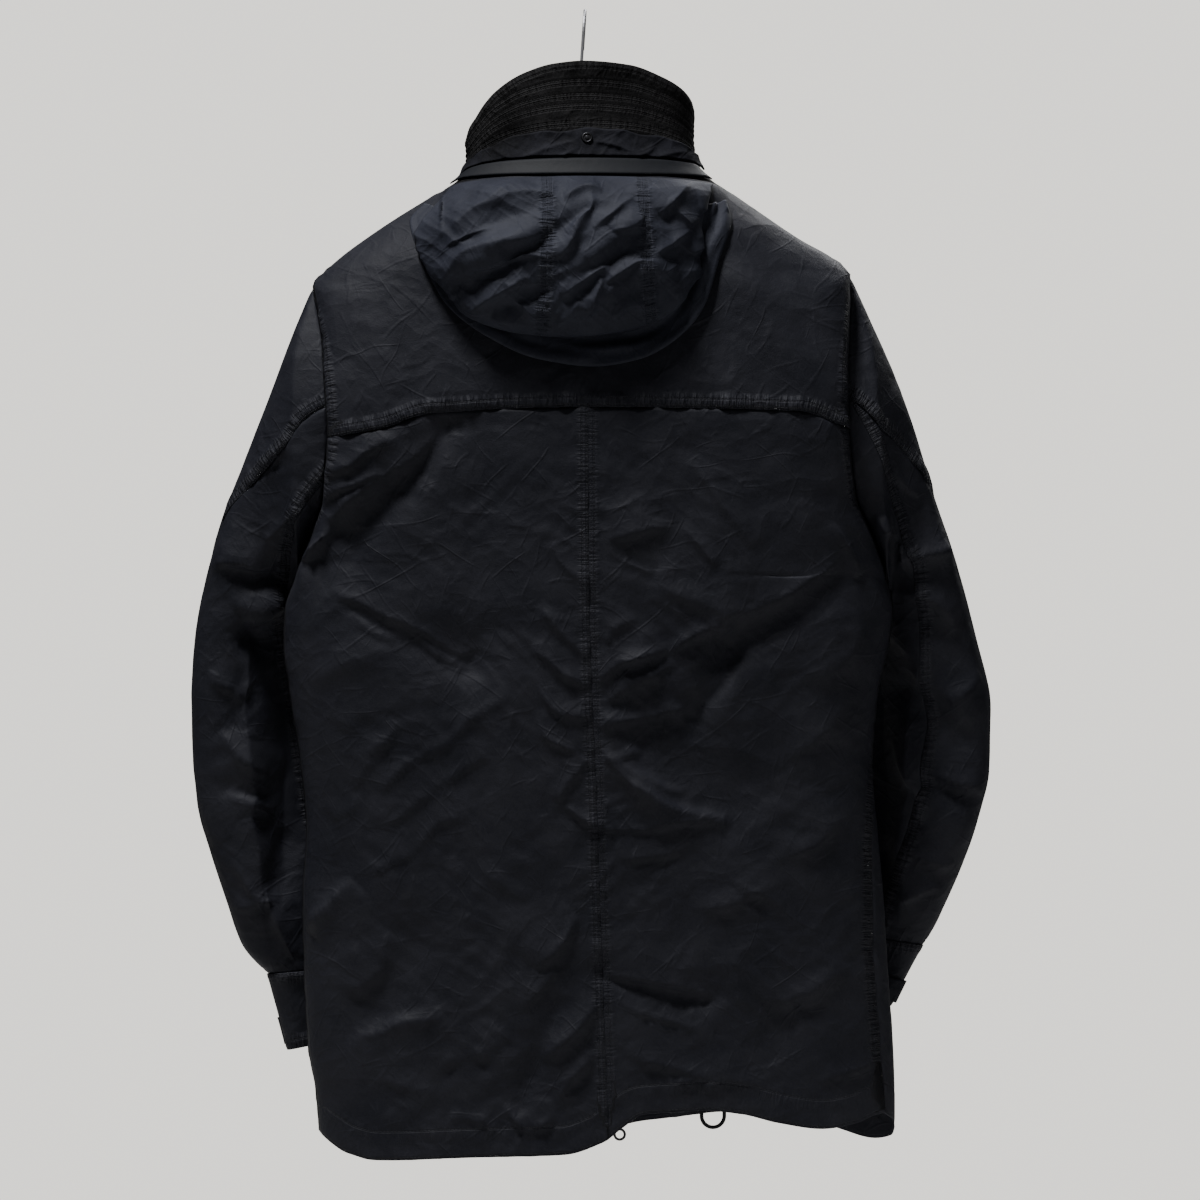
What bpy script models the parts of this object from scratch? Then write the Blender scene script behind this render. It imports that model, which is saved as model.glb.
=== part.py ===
"""A field parka hanging by the neck from a coat hanger, hood out and down the back.

The origin is the inside of the hook's crown and +Z is up. The coat's back faces -Y and its right
sleeve is at +X. Every table is in millimetres, and "drop" is the distance below the origin, so the
shapes are worked out as (x, y, drop) and turned into metres when a piece is made.

The shell is one surface: a torso ring that runs from the shoulder line to the hem, a sleeve tube
from each armhole and a collar tube from the neckline. The surface is cut into the panels that a
maker would cut, and each panel gets a wall and a fine gap at its seams.
"""

import math

import bmesh
import bpy
import numpy as np
from mathutils import Vector

MM = 0.001
SHELL = 1.8  # shell cloth with its seam allowances
SEAM = 0.25  # how far a panel stops short of its seam, so that neighbours are 0.5 apart
CLEAR = 0.4  # air between a piece and what it lies on

# Columns of the torso grid: cells on a shoulder, from the neck to the centre, and in the zip
SHOULDER_CELLS, NECK_CELLS = 5, 7
NECK_SHARE = 0.529  # where the neck point falls, as a share of the half width
# Rows of the torso grid: shoulder to yoke seam, yoke seam to armpit, armpit to hem
YOKE_ROWS, CHEST_ROWS, SKIRT_ROWS = 5, 5, 14
YOKE_STEPS = (0, 0.05, 0.19, 0.43, 0.8, 1)
CHEST_STEPS = (0, 0.31, 0.59, 0.81, 0.95, 1)
SIDE_Y = 5.0  # the shoulder and side seams lie in this plane
TOP_ROUND = 78.0  # how far down the shoulder rounds over
BACK_FULL, FRONT_FULL = 0.6, 1.3  # powers: a full back and a flatter front
NECK_HALF, NECK_BACK, NECK_FRONT = 118.0, 60.0, 57.0
ARMHOLE_HALF = 48.0
ZIP_HALF = 9.0  # half the width of zip tape that shows

SLEEVE_AROUND = 20  # cells round a sleeve
CAP_RINGS = 4  # the diagonal seam of the cap ends at this ring


def table(names, *rows):
    """A short table, as one array for each named column."""
    columns = zip(*rows, strict=True)
    return {n: np.array(c, float) for n, c in zip(names.split(), columns, strict=True)}


TORSO = table(
    "drop left right back front",
    (140, -226, 220, 66, 42),
    (222, -226, 220, 72, 50),
    (272, -218, 218, 76, 53),
    (322, -214, 217, 79, 55),
    (355, -212, 218, 80, 55),
    (401, -216, 223, 80, 55),
    (430, -226, 236, 80, 54),
    (457, -238, 247, 79, 54),
    (475, -244, 252, 79, 53),
    (496, -250, 256, 78, 53),
    (521, -251, 253, 77, 53),
    (571, -245, 243, 75, 52),
    (621, -237, 239, 73, 51),
    (679, -232, 243, 71, 50),
    (737, -235, 248, 69, 50),
    (787, -234, 251, 68, 50),
    (862, -230, 256, 67, 50),
    (895, -224, 257, 66, 50),
    (950, -219, 257, 66, 50),
)
CENTRE = table(
    "drop back front",
    (140, 3, 3),
    (235, 3, 3),
    (334, 3, 7),
    (488, 4, 14),
    (654, 10, 22),
    (800, 15, 27),
    (911, 19, 29),
    (950, 20, 29),
)
# The right side seam turns onto the back below the hip: its angle from the middle of the back
RIGHT_SEAM = table(
    "drop degrees", (600, 90), (650, 82), (700, 75), (787, 71), (870, 72), (930, 75)
)
TOP_LINE = table(
    "x back front",
    (-226, 227, 227),
    (-207, 207, 207),
    (-178, 185, 185),
    (-141, 161, 161),
    (-118, 148, 148),
    (-100, 142, 166),
    (-60, 139, 189),
    (0, 138, 203),
    (60, 139, 189),
    (100, 142, 166),
    (118, 148, 148),
    (135, 159, 159),
    (178, 188, 188),
    (207, 205, 205),
    (220, 218, 218),
)
# Seam and hem lines across the torso, by share of the half width from the centre
YOKE_SEAM = table("share drop", (-1, 355), (-0.78, 347), (-0.6, 335), (0, 330), (0.8, 333), (1, 347))
HEM = table(
    "share back front",
    (-1, 928, 928),
    (-0.9, 944, 936),
    (-0.8, 949, 940),
    (-0.5, 946, 937),
    (-0.15, 943, 934),
    (-0.03, 934, 930),
    (0.06, 921, 925),
    (0.15, 910, 922),
    (0.3, 908, 917),
    (0.4, 907, 915),
    (0.55, 910, 918),
    (0.7, 918, 928),
    (0.85, 923, 936),
    (0.95, 919, 932),
    (1, 911, 911),
)
ARMHOLE = {"left": (227.0, 455.0), "right": (218.0, 470.0)}

# Folds as soft troughs (+) and ridges (-) along a line from (x0, drop0) to (x1, drop1)
FOLD_COLUMNS = "x0 drop0 x1 drop1 width depth"
BACK_FOLDS = table(
    FOLD_COLUMNS,
    (-112, 346, -190, 440, 15, 7),
    (-165, 383, -205, 399, 11, 4),
    (-203, 430, -222, 437, 11, 6),
    (-88, 350, -94, 520, 24, 4),
    (-200, 477, -95, 538, 22, 6),
    (128, 225, 196, 320, 17, -4),
    (203, 350, 240, 432, 12, -4),
    (207, 455, 112, 526, 24, 6),
    (120, 530, 92, 584, 11, 5),
    (62, 602, 118, 646, 36, 8),
    (18, 588, 64, 664, 10, -4),
    (16, 796, 98, 814, 13, 5),
    (-176, 828, -142, 772, 26, 6),
    (-226, 655, -192, 760, 20, 4),
    (150, 850, 186, 802, 24, 5),
    (-22, 822, -54, 900, 11, 4),
)
FRONT_FOLDS = table(
    FOLD_COLUMNS,
    (150, 300, 186, 410, 16, 5),
    (-150, 310, -182, 420, 15, 5),
    (-60, 420, -150, 520, 22, 5),
    (70, 450, 160, 540, 24, 6),
    (-50, 600, -130, 640, 18, 5),
    (60, 640, 140, 700, 20, 5),
    (-150, 720, -90, 790, 22, 6),
    (150, 780, 110, 860, 20, 5),
)

# Sleeve rings: the outer line and the inner (underarm) line, then half the thickness to each side
RING_COLUMNS = "outer_x outer_y outer_drop inner_x inner_y inner_drop to_back to_front"
LEFT_SLEEVE = table(
    RING_COLUMNS,
    (-226, 5, 227, -238, 5, 455, 48, 48),
    (-243, 5, 268, -247, 12, 468, 45, 49),
    (-262, 6, 318, -249, 26, 482, 39, 50),
    (-282, 8, 370, -242, 40, 497, 34, 50),
    (-301, 11, 422, -235, 56, 520, 30, 48),
    (-314, 14, 474, -225, 69, 548, 28, 45),
    (-323, 17, 524, -214, 78, 581, 28, 42),
    (-326, 19, 574, -205, 84, 615, 29, 38),
    (-325, 21, 622, -199, 87, 647, 29, 35),
    (-321, 23, 662, -194, 88, 676, 29, 33),
    (-311, 25, 698, -190, 88, 704, 29, 32),
    (-298, 27, 738, -186, 86, 736, 27, 30),
    (-284, 28, 777, -181, 84, 768, 25, 27),
    (-264, 30, 800, -174, 82, 793, 21, 23),
)
RIGHT_SLEEVE = table(
    RING_COLUMNS,
    (220, 5, 218, 251, 5, 470, 48, 48),
    (238, 5, 258, 263, 15, 484, 45, 49),
    (256, 6, 298, 261, 28, 498, 39, 50),
    (274, 8, 347, 255, 43, 516, 34, 49),
    (290, 11, 402, 248, 57, 539, 31, 47),
    (307, 14, 455, 240, 68, 564, 30, 44),
    (323, 17, 518, 231, 77, 594, 29, 41),
    (336, 19, 580, 221, 83, 626, 29, 37),
    (335, 21, 630, 213, 87, 656, 29, 35),
    (325, 22, 673, 208, 88, 684, 29, 33),
    (311, 24, 712, 203, 88, 711, 29, 32),
    (297, 26, 744, 197, 86, 734, 27, 30),
    (290, 28, 760, 192, 84, 748, 25, 27),
    (281, 30, 776, 187, 82, 762, 21, 23),
)
LEFT_CUFF = table(
    RING_COLUMNS,
    (-264, 30, 800, -174, 82, 793, 21, 23),
    (-256, 33, 832, -169, 82, 820, 18, 20),
    (-248, 36, 864, -163, 82, 847, 17, 18),
)
RIGHT_CUFF = table(
    RING_COLUMNS,
    (281, 30, 776, 187, 82, 762, 21, 23),
    (268, 33, 801, 180, 82, 783, 18, 20),
    (255, 36, 827, 172, 82, 805, 17, 18),
)
# Where the cap's seam crosses each of the first rings, in degrees from the outer line
LEFT_CAP = table("ring degrees", (0, 84), (1, 80), (2, 66), (3, 42), (4, 0))
RIGHT_CAP = table("ring degrees", (0, 84), (1, 76), (2, 62), (3, 42), (4, 0))
LEFT_SLEEVE_FOLDS = table(
    FOLD_COLUMNS,
    (-312, 456, -250, 455, 13, 7),
    (-300, 492, -262, 482, 14, -4),
    (-251, 490, -284, 515, 14, 7),
    (-284, 515, -300, 590, 14, 6),
    (-318, 642, -280, 650, 11, 4),
    (-262, 690, -276, 740, 12, 4),
)
RIGHT_SLEEVE_FOLDS = table(
    FOLD_COLUMNS,
    (238, 425, 262, 470, 17, 4),
    (268, 506, 322, 570, 15, -5),
    (276, 560, 320, 600, 15, 6),
    (300, 642, 328, 654, 11, 5),
    (262, 700, 250, 752, 12, 4),
)

COLLAR_STEPS = np.array([0, 0.09, 0.19, 0.39, 0.69, 1])  # its rows, from the foot upwards
COLLAR_TOP = table(
    "angle drop",
    (-180, 132),
    (-135, 124),
    (-90, 107),
    (-69, 92),
    (-47, 68),
    (-28, 53),
    (-12, 46),
    (2, 44),
    (25, 47),
    (45, 56),
    (62, 65),
    (84, 80),
    (110, 104),
    (140, 123),
    (180, 132),
)
COLLAR_TOP_X, COLLAR_TOP_HALF, COLLAR_TOP_BACK, COLLAR_TOP_FRONT = -4.0, 95.0, 47.0, 52.0
COLLAR_FLARE = 5.0  # how sharply the collar flares at its foot

# Strips that lie on the collar: from and to round it, and from its foot upwards as a share
STRIPS = {
    "neck_tape": {"round": (-74.0, 66.0), "up": (0.03, 0.18), "wall": 1.4},
    "collar_flap": {"round": (-84.0, 78.0), "up": (0.2, 0.38), "wall": 1.6},
}
SNAP_RADIUS, SNAP_HEIGHT, SNAP_ANGLE, SNAP_SHARE = 5.0, 2.2, 3.0, 0.315

HOOD_ROWS, HOOD_WALL = 12, 1.5
HOOD_CELLS = (6, 6, 5)
HOOD = table(
    "share left seam_left seam_right right",
    (0, -111, -31, 47, 106),
    (0.3, -136, -30, 49, 95),
    (0.6, -126, -31, 51, 93),
    (1, -98, -36, 55, 74),
)
HOOD_TOP, HOOD_CORNER, HOOD_BOTTOM = 1.8, 246.0, 274.0  # the first is below the neckline
HOOD_BULGE = 34.0
HOOD_FOLDS = table(
    FOLD_COLUMNS,
    (-125, 206, -40, 168, 9, 4),
    (-118, 222, -38, 186, 8, -4),
    (-92, 232, 4, 172, 8, 4),
    (-20, 232, 40, 178, 9, -4),
    (-60, 248, 30, 206, 8, 4),
    (0, 250, 60, 214, 8, -4),
    (66, 178, 80, 230, 8, 4),
)
BRIM_WALL, BRIM_OFF = 2.2, 3.4
BRIM = table(
    "x drop width",
    (-133, 160, 14),
    (-145, 176, 22),
    (-134, 208, 24),
    (-112, 247, 26),
    (-77, 274, 28),
    (-38, 291, 30),
    (5, 297, 32),
    (45, 291, 32),
    (77, 273, 32),
    (98, 247, 34),
    (110, 209, 36),
    (121, 177, 34),
    (117, 158, 20),
)
BRIM_CENTRE = (-8.0, 195.0)

CHAIN_HALF, CHAIN_WALL = 2.6, 2.0
SLIDER_HALF, SLIDER_HIGH, SLIDER_THICK = 4.6, 12.0, 4.4
LOWER_SLIDER, UPPER_SLIDER = 916.0, 148.0
BAIL_RADIUS, BAIL_WIRE, BAIL_OFF, BAIL_DOWN = 2.3, 0.9, 1.5, 2.0
# A pull: the bar through the bail, the fork's arms and their gap, then the bridge, neck and eye
PULL_BAR, PULL_ARM, PULL_GAP, PULL_FORK, PULL_BRIDGE, PULL_NECK = 1.35, 1.3, 2.2, 6.2, 2.6, 3.4
PULL_EYE_RADIUS, PULL_EYE_WIRE, PULL_EYE_SIDES, PULL_LONG = 4.3, 1.1, 18, 19.0

HOOK_WIRE, HOOK_RADIUS, HOOK_TIP = 1.3, 19.0, 30.0
HANGER_HALF, HANGER_HIGH, HANGER_DEEP = 200.0, 20.0, 6.0
HANGER_NECK = (-6.0, 117.5)  # where the wire's end meets the arms
HANGER_RISE = table(
    "x rise", (-116, 0), (-92, 1), (-50, 18), (-20, 31), (0, 35), (20, 31), (50, 18), (92, 1), (116, 0)
)
# The arm's section: across as a share of its half depth, down as a share of its height
HANGER_SECTION = table(
    "across down",
    *((0, 0), (0.3, 0.1), (0.75, 0.34), (1, 0.66), (0.6, 1)),
    *((-0.6, 1), (-1, 0.66), (-0.75, 0.34), (-0.3, 0.1)),
)
# Cuff tabs: their columns round the cuff and their rings down it, and how far the right one runs on
TAB_AROUND = {"left": (15.2, 16, 17, 18, 18.8), "right": (5, 4, 3, 2, 1.2)}
TAB_RINGS = (1.15, 1.85)
TAB_WALL, TAB_PAST = 1.6, 9.0
CORD_RADIUS = 1.6
CORD_LOOP = {"x": 107.0, "half": 9.5, "top": 886.0, "bottom": 929.5}

# Colour, roughness and metallic value of each kind of piece
LOOKS = {
    "shell": ((0.012, 0.013, 0.018), 0.9, 0.0),
    "faded": ((0.02, 0.02, 0.021), 0.92, 0.0),
    "thin": ((0.02, 0.022, 0.034), 0.7, 0.0),
    "rubber": ((0.06, 0.07, 0.085), 0.38, 0.0),
    "zip_tape": ((0.012, 0.012, 0.014), 0.85, 0.0),
    "dark_metal": ((0.03, 0.03, 0.032), 0.4, 0.9),
    "steel": ((0.6, 0.6, 0.62), 0.25, 1.0),
    "wood": ((0.34, 0.2, 0.1), 0.55, 0.0),
    "cord": ((0.01, 0.01, 0.012), 0.8, 0.0),
}


# ---------------------------------------------------------------- reading tables


def read(tab, name, at):
    """A column at the wanted places along the table's first column, by a smooth curve."""
    key = tab[next(iter(tab))]
    values = tab[name]
    rise = np.diff(values) / np.diff(key)
    before, after = rise[:-1], rise[1:]
    total = np.where(before * after > 0, before + after, 1.0)
    inner = np.where(before * after > 0, 2 * before * after / total, 0.0)
    slope = np.concatenate([rise[:1], inner, rise[-1:]])
    at = np.clip(at, key[0], key[-1])
    i = np.clip(np.searchsorted(key, at, side="right") - 1, 0, len(key) - 2)
    step = key[i + 1] - key[i]
    t = (at - key[i]) / step
    return (
        (2 * t**3 - 3 * t**2 + 1) * values[i]
        + (t**3 - 2 * t**2 + t) * step * slope[i]
        + (3 * t**2 - 2 * t**3) * values[i + 1]
        + (t**3 - t**2) * step * slope[i + 1]
    )


def by_row(tab):
    """The same table, with the row's number as its first column."""
    rows = len(next(iter(tab.values())))
    return {"row": np.arange(rows, dtype=float), **tab}


def folds_at(folds, x, drop):
    """How far the folds press the cloth in, at points of the photographed plane."""
    total = np.zeros(np.broadcast(x, drop).shape)
    for x0, d0, x1, d1, width, depth in zip(*folds.values(), strict=True):
        run_x, run_d = x1 - x0, d1 - d0
        t = ((x - x0) * run_x + (drop - d0) * run_d) / (run_x**2 + run_d**2)
        t = np.clip(t, 0, 1)
        away = ((x - x0 - t * run_x) ** 2 + (drop - d0 - t * run_d) ** 2) / width**2
        total = total + depth * np.exp(-away)
    return total


# ---------------------------------------------------------------- torso


def half_width(drop):
    left, right = read(TORSO, "left", drop), read(TORSO, "right", drop)
    return (left + right) / 2, (right - left) / 2


def armhole_half(share, drop):
    """Half the armhole's depth front to back at this height, on the nearer side."""
    half = np.zeros(np.broadcast(share, drop).shape)
    for side, (tip, pit) in ARMHOLE.items():
        here = (share < 0) == (side == "left")
        level = np.clip((drop - tip) / (pit - tip), 0, 1)
        half = np.where(here, ARMHOLE_HALF * np.sin(np.pi * level) ** 0.9, half)
    return half


def top_drop(x, face):
    return read(TOP_LINE, face, x)


def depth_at(share, turn, x, drop, face):
    """Distance of the torso from the side plane, towards the back or the front."""
    full_power = BACK_FULL if face == "back" else FRONT_FULL
    neck_depth = NECK_BACK if face == "back" else NECK_FRONT
    opening = armhole_half(share, drop)
    full = opening + (read(TORSO, face, drop) - opening) * np.abs(np.cos(turn)) ** full_power
    over_neck = np.sqrt(np.clip(1 - (x / NECK_HALF) ** 2, 0, 1)) * neck_depth
    reach = TOP_ROUND * (1 - np.abs(share) ** 6) + 0.5
    s = np.clip((drop - top_drop(x, face)) / reach, 0, 1)
    return over_neck + (full - over_neck) * np.sqrt(1 - (1 - s) ** 2)


def torso_drop(share, row, face):
    """The height of a grid row at this share of the half width."""
    centre, half = half_width(np.full(np.shape(share), 150.0))
    shift = (read(CENTRE, "back", 150.0) - centre) / half
    x_top = centre + half * (share + shift * (1 - np.abs(share)))
    pits = ARMHOLE["left"][1], ARMHOLE["right"][1]
    lines = (
        top_drop(x_top, face),
        read(YOKE_SEAM, "drop", share),
        pits[0] + (pits[1] - pits[0]) * (share + 1) / 2,
        read(HEM, face, share),
    )
    chest, skirt = YOKE_ROWS, YOKE_ROWS + CHEST_ROWS
    parts = (
        np.interp(row, range(chest + 1), YOKE_STEPS),
        np.interp(row - chest, range(CHEST_ROWS + 1), CHEST_STEPS),
        np.clip((row - skirt) / SKIRT_ROWS, 0, 1),
    )
    drop = lines[0]
    for upper, lower, part in zip(lines[:-1], lines[1:], parts, strict=True):
        drop = drop + (lower - upper) * part
    return drop


def torso_point(share, row, face):
    """(x, y, drop) of the torso. share runs from -1, the left side seam, to 1, the right one."""
    share, row = np.broadcast_arrays(np.asarray(share, float), np.asarray(row, float))
    drop = torso_drop(share, row, face)
    centre, half = half_width(drop)
    shift = (read(CENTRE, face, drop) - centre) / half
    bent = np.arcsin(np.clip(share + shift * (1 - np.abs(share)), -1, 1))
    seam = np.radians(read(RIGHT_SEAM, "degrees", drop))
    reach = np.where(share > 0, seam if face == "back" else np.pi - seam, np.pi / 2)
    turn = bent / (np.pi / 2) * reach
    x = centre + half * np.sin(turn)
    on_back = (face == "back") | (np.abs(turn) > np.pi / 2)
    back = depth_at(share, turn, x, drop, "back")
    front = depth_at(share, turn, x, drop, "front")
    y = np.where(on_back, SIDE_Y - back, SIDE_Y + front)
    calm = (1 - np.abs(share) ** 10) * np.clip(row / 2, 0, 1)
    pressed = folds_at(BACK_FOLDS if face == "back" else FRONT_FOLDS, x, drop) * calm
    y = y + np.where(on_back, pressed, -pressed)
    return np.stack([x, y, drop], axis=-1)


def face_y(x, drop, face):
    """The y of the torso's outside at a place in the photographed plane."""
    centre, half = half_width(drop)
    share = np.clip((x - centre) / half, -1, 1)
    calm = (1 - np.abs(share) ** 10) * np.clip((drop - top_drop(x, face)) / 20, 0, 1)
    depth = depth_at(share, np.arcsin(share), x, drop, face)
    pressed = folds_at(BACK_FOLDS if face == "back" else FRONT_FOLDS, x, drop) * calm
    return SIDE_Y - depth + pressed if face == "back" else SIDE_Y + depth - pressed


def lifted_y(x, drop, face, lift):
    """face_y moved square off the surface by a lift, which is negative on its inside."""
    slope_x = (face_y(x + 1, drop, face) - face_y(x - 1, drop, face)) / 2
    slope_drop = (face_y(x, drop + 1, face) - face_y(x, drop - 1, face)) / 2
    steep = np.minimum(np.sqrt(1 + slope_x**2 + slope_drop**2), 3)
    return face_y(x, drop, face) + (-1 if face == "back" else 1) * lift * steep


def torso_shares(face):
    """The shares of the grid's columns. The front has two narrow ones for the zip tapes."""
    middle = [0.0] if face == "back" else [-ZIP_HALF / 236, 0.0, ZIP_HALF / 236]
    cells = NECK_CELLS if face == "back" else NECK_CELLS - 1
    outer = np.linspace(-1, -NECK_SHARE, SHOULDER_CELLS + 1)
    inner = np.linspace(-NECK_SHARE, middle[0], cells + 1)[1:]
    left = np.concatenate([outer, inner])
    rest = [-s for s in left[: -1 if face == "back" else None][::-1]]
    return np.concatenate([left, [] if face == "back" else [0.0], rest])


# ---------------------------------------------------------------- sleeves


def armhole_point(side, around):
    """The body's armhole edge: 0 is the shoulder tip, 10 the armpit, on by the back."""
    share = -1.0 if side == "left" else 1.0
    half = SLEEVE_AROUND / 2
    row = np.where(around <= half, around, SLEEVE_AROUND - around)
    on_back = (around <= half)[..., None]
    return np.where(on_back, torso_point(share, row, "back"), torso_point(share, row, "front"))


def ring_turn(side, ring, around):
    """The angle round a ring for a grid column, so that the cap's seam follows the grid."""
    half = SLEEVE_AROUND / 2
    near = np.where(around <= half, around, SLEEVE_AROUND - around)
    seam_column = np.clip(CAP_RINGS - ring, 0, CAP_RINGS)
    cap = LEFT_CAP if side == "left" else RIGHT_CAP
    seam = np.radians(read(cap, "degrees", ring))
    inside = near <= seam_column
    low = seam * near / np.maximum(seam_column, 1e-9)
    high = seam + (np.pi - seam) * (near - seam_column) / (half - seam_column)
    turn = np.where(inside, low, high)
    return np.where(around <= half, turn, 2 * np.pi - turn)


def tube_point(rings, ring, turn, folds):
    """(x, y, drop) on a tube given by its outer and inner lines."""
    rows = by_row(rings)

    def line(name, at):
        columns = (f"{name}_x", f"{name}_y", f"{name}_drop")
        return np.stack([read(rows, c, at) for c in columns], axis=-1)

    outer, inner = line("outer", ring), line("inner", ring)
    major = (outer - inner) / 2
    lean = major / np.linalg.norm(major, axis=-1, keepdims=True)
    normal = np.array([0, -1, 0]) + lean[..., 1:2] * lean
    normal /= np.linalg.norm(normal, axis=-1, keepdims=True)
    sine, cosine = np.sin(turn), np.cos(turn)
    thick = np.where(sine > 0, read(rows, "to_back", ring), read(rows, "to_front", ring))
    point = (outer + inner) / 2 + major * cosine[..., None]
    swell = np.sign(sine) * np.abs(sine) ** 0.9 * thick
    pressed = folds_at(folds, point[..., 0], point[..., 2]) * np.abs(sine) ** 0.7
    swell = swell - np.sign(sine) * pressed * np.where(sine > 0, 1, 0.7)
    return point + normal * swell[..., None]


def sleeve_point(side, ring, around):
    """(x, y, drop) of a sleeve: ring 0 is the armhole, and the first ring blends away from it."""
    ring, around = np.broadcast_arrays(np.asarray(ring, float), np.asarray(around, float))
    rings = LEFT_SLEEVE if side == "left" else RIGHT_SLEEVE
    folds = LEFT_SLEEVE_FOLDS if side == "left" else RIGHT_SLEEVE_FOLDS
    point = tube_point(rings, ring, ring_turn(side, ring, around), folds)
    first = tube_point(rings, np.zeros_like(ring), ring_turn(side, np.zeros_like(ring), around), folds)
    fade = np.clip(1 - ring, 0, 1)[..., None] ** 1.5
    return point + (armhole_point(side, around) - first) * fade


def cuff_point(side, ring, around):
    rings = LEFT_CUFF if side == "left" else RIGHT_CUFF
    ring, around = np.broadcast_arrays(np.asarray(ring, float), np.asarray(around, float))
    none = {name: np.zeros(0) for name in FOLD_COLUMNS.split()}
    return tube_point(rings, ring, around / SLEEVE_AROUND * 2 * np.pi, none)


# ---------------------------------------------------------------- collar, hood and trim


def neck_angle(x, face):
    """The angle round the neck, 0 at the middle of the back and 180 at the zip."""
    turn = np.degrees(np.arcsin(np.clip(x / NECK_HALF, -1, 1)))
    return turn if face == "back" else np.where(turn < 0, -180 - turn, 180 - turn)


def neck_point(angle):
    turn = np.radians(angle)
    x = NECK_HALF * np.sin(turn)
    on_back = np.cos(turn) >= 0
    y = SIDE_Y - np.cos(turn) * np.where(on_back, NECK_BACK, NECK_FRONT)
    return np.stack([x, y, np.where(on_back, top_drop(x, "back"), top_drop(x, "front"))], axis=-1)


def collar_point(angle, share):
    """(x, y, drop) of the collar: share 0 is its foot, on the neckline, and 1 its top edge."""
    angle, share = np.broadcast_arrays(np.asarray(angle, float), np.asarray(share, float))
    turn = np.radians(angle)
    foot = neck_point(angle)
    depth = np.where(np.cos(turn) >= 0, COLLAR_TOP_BACK, COLLAR_TOP_FRONT)
    top = np.stack(
        [
            COLLAR_TOP_X + COLLAR_TOP_HALF * np.sin(turn),
            SIDE_Y - np.cos(turn) * depth,
            read(COLLAR_TOP, "drop", angle),
        ],
        axis=-1,
    )
    bend = (1 - (1 - share) ** COLLAR_FLARE)[..., None]
    flat = foot + (top - foot) * bend
    rise = foot[..., 2] + (top[..., 2] - foot[..., 2]) * share
    return np.concatenate([flat[..., :2], rise[..., None]], axis=-1)


def neck_columns():
    """The angles of the collar grid's columns over the back of the neck."""
    across = torso_shares("back")[SHOULDER_CELLS:-SHOULDER_CELLS]
    return neck_angle(torso_point(across, 0.0, "back")[:, 0], "back")


def across_faces(surface, columns, rows):
    """The surface read straight across the faces of its own grid, so that what lies on it fits."""

    def point(u, v):
        i = np.clip(np.searchsorted(columns, u) - 1, 0, len(columns) - 2)
        k = np.clip(np.searchsorted(rows, v) - 1, 0, len(rows) - 2)
        s = ((u - columns[i]) / (columns[i + 1] - columns[i]))[..., None]
        t = ((v - rows[k]) / (rows[k + 1] - rows[k]))[..., None]
        ends = [
            surface(columns[i], row) * (1 - s) + surface(columns[i + 1], row) * s
            for row in (rows[k], rows[k + 1])
        ]
        return ends[0] * (1 - t) + ends[1] * t

    return point


def moved_out(surface, u, v, lift, steps=(1.0, 0.02), inside=(0.0, SIDE_Y)):
    """Points of a surface moved square off it, away from an upright axis inside it."""
    across = surface(u + steps[0], v) - surface(u - steps[0], v)
    along = surface(u, v + steps[1]) - surface(u, v - steps[1])
    normal = np.cross(across, along)
    normal /= np.linalg.norm(normal, axis=-1, keepdims=True)
    point = surface(u, v)
    away = point[..., :2] - np.array(inside)
    facing = np.sum(normal[..., :2] * away, axis=-1, keepdims=True)
    return point + normal * np.where(facing < 0, -lift, lift)


def hood_point(across, share):
    """(x, y, drop) of the hood. across runs from 0 to 3, through its three panels."""
    across, share = np.broadcast_arrays(np.asarray(across, float), np.asarray(share, float))
    edges = [read(HOOD, name, share) for name in ("left", "seam_left", "seam_right", "right")]
    x = edges[0]
    for panel in range(3):
        x = x + (edges[panel + 1] - edges[panel]) * np.clip(across - panel, 0, 1)
    middle, half = (edges[0] + edges[3]) / 2, (edges[3] - edges[0]) / 2
    u = np.clip((x - middle) / half, -1, 1)
    low = HOOD_CORNER + (HOOD_BOTTOM - HOOD_CORNER) * (1 - u**2) ** 0.6
    top = top_drop(x, "back") + HOOD_TOP
    drop = top + (low - top) * share
    seat = HOOD_WALL + CLEAR + (BRIM_OFF + CLEAR) * np.clip(share / 0.12, 0, 1)
    bulge = (1 - np.abs(u) ** 2.6) ** 0.6 * np.sin(np.pi * share**0.75).clip(0, 1) ** 0.5
    pressed = folds_at(HOOD_FOLDS, x, drop) * np.clip(bulge * 1.6, 0, 1)
    y = lifted_y(x, drop, "back", seat) - HOOD_BULGE * bulge + pressed
    return np.stack([x, y, drop], axis=-1)


def brim_point(along, share):
    """(x, y, drop) of the brim band: along runs through the table, share from its edge inwards."""
    along, share = np.broadcast_arrays(np.asarray(along, float), np.asarray(share, float))
    rows = by_row(BRIM)
    x, drop, width = (read(rows, name, along) for name in ("x", "drop", "width"))
    to_x, to_drop = BRIM_CENTRE[0] - x, BRIM_CENTRE[1] - drop
    length = np.hypot(to_x, to_drop)
    x = x + to_x / length * width * share
    drop = drop + to_drop / length * width * share
    return np.stack([x, lifted_y(x, drop, "back", BRIM_OFF), drop], axis=-1)


# ---------------------------------------------------------------- making solids


def to_world(points):
    """(x, y, drop) in millimetres to metres with +Z up."""
    return np.asarray(points, float) * (MM, MM, -MM)


def material(name, look):
    """A material of its own for one piece, from a row of LOOKS."""
    colour, roughness, metallic = LOOKS[look]
    made = bpy.data.materials.new(f"{name}_{look}")
    made.use_nodes = True
    shader = made.node_tree.nodes["Principled BSDF"]
    shader.inputs["Base Color"].default_value = (*colour, 1.0)
    shader.inputs["Roughness"].default_value = roughness
    shader.inputs["Metallic"].default_value = metallic
    return made


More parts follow.
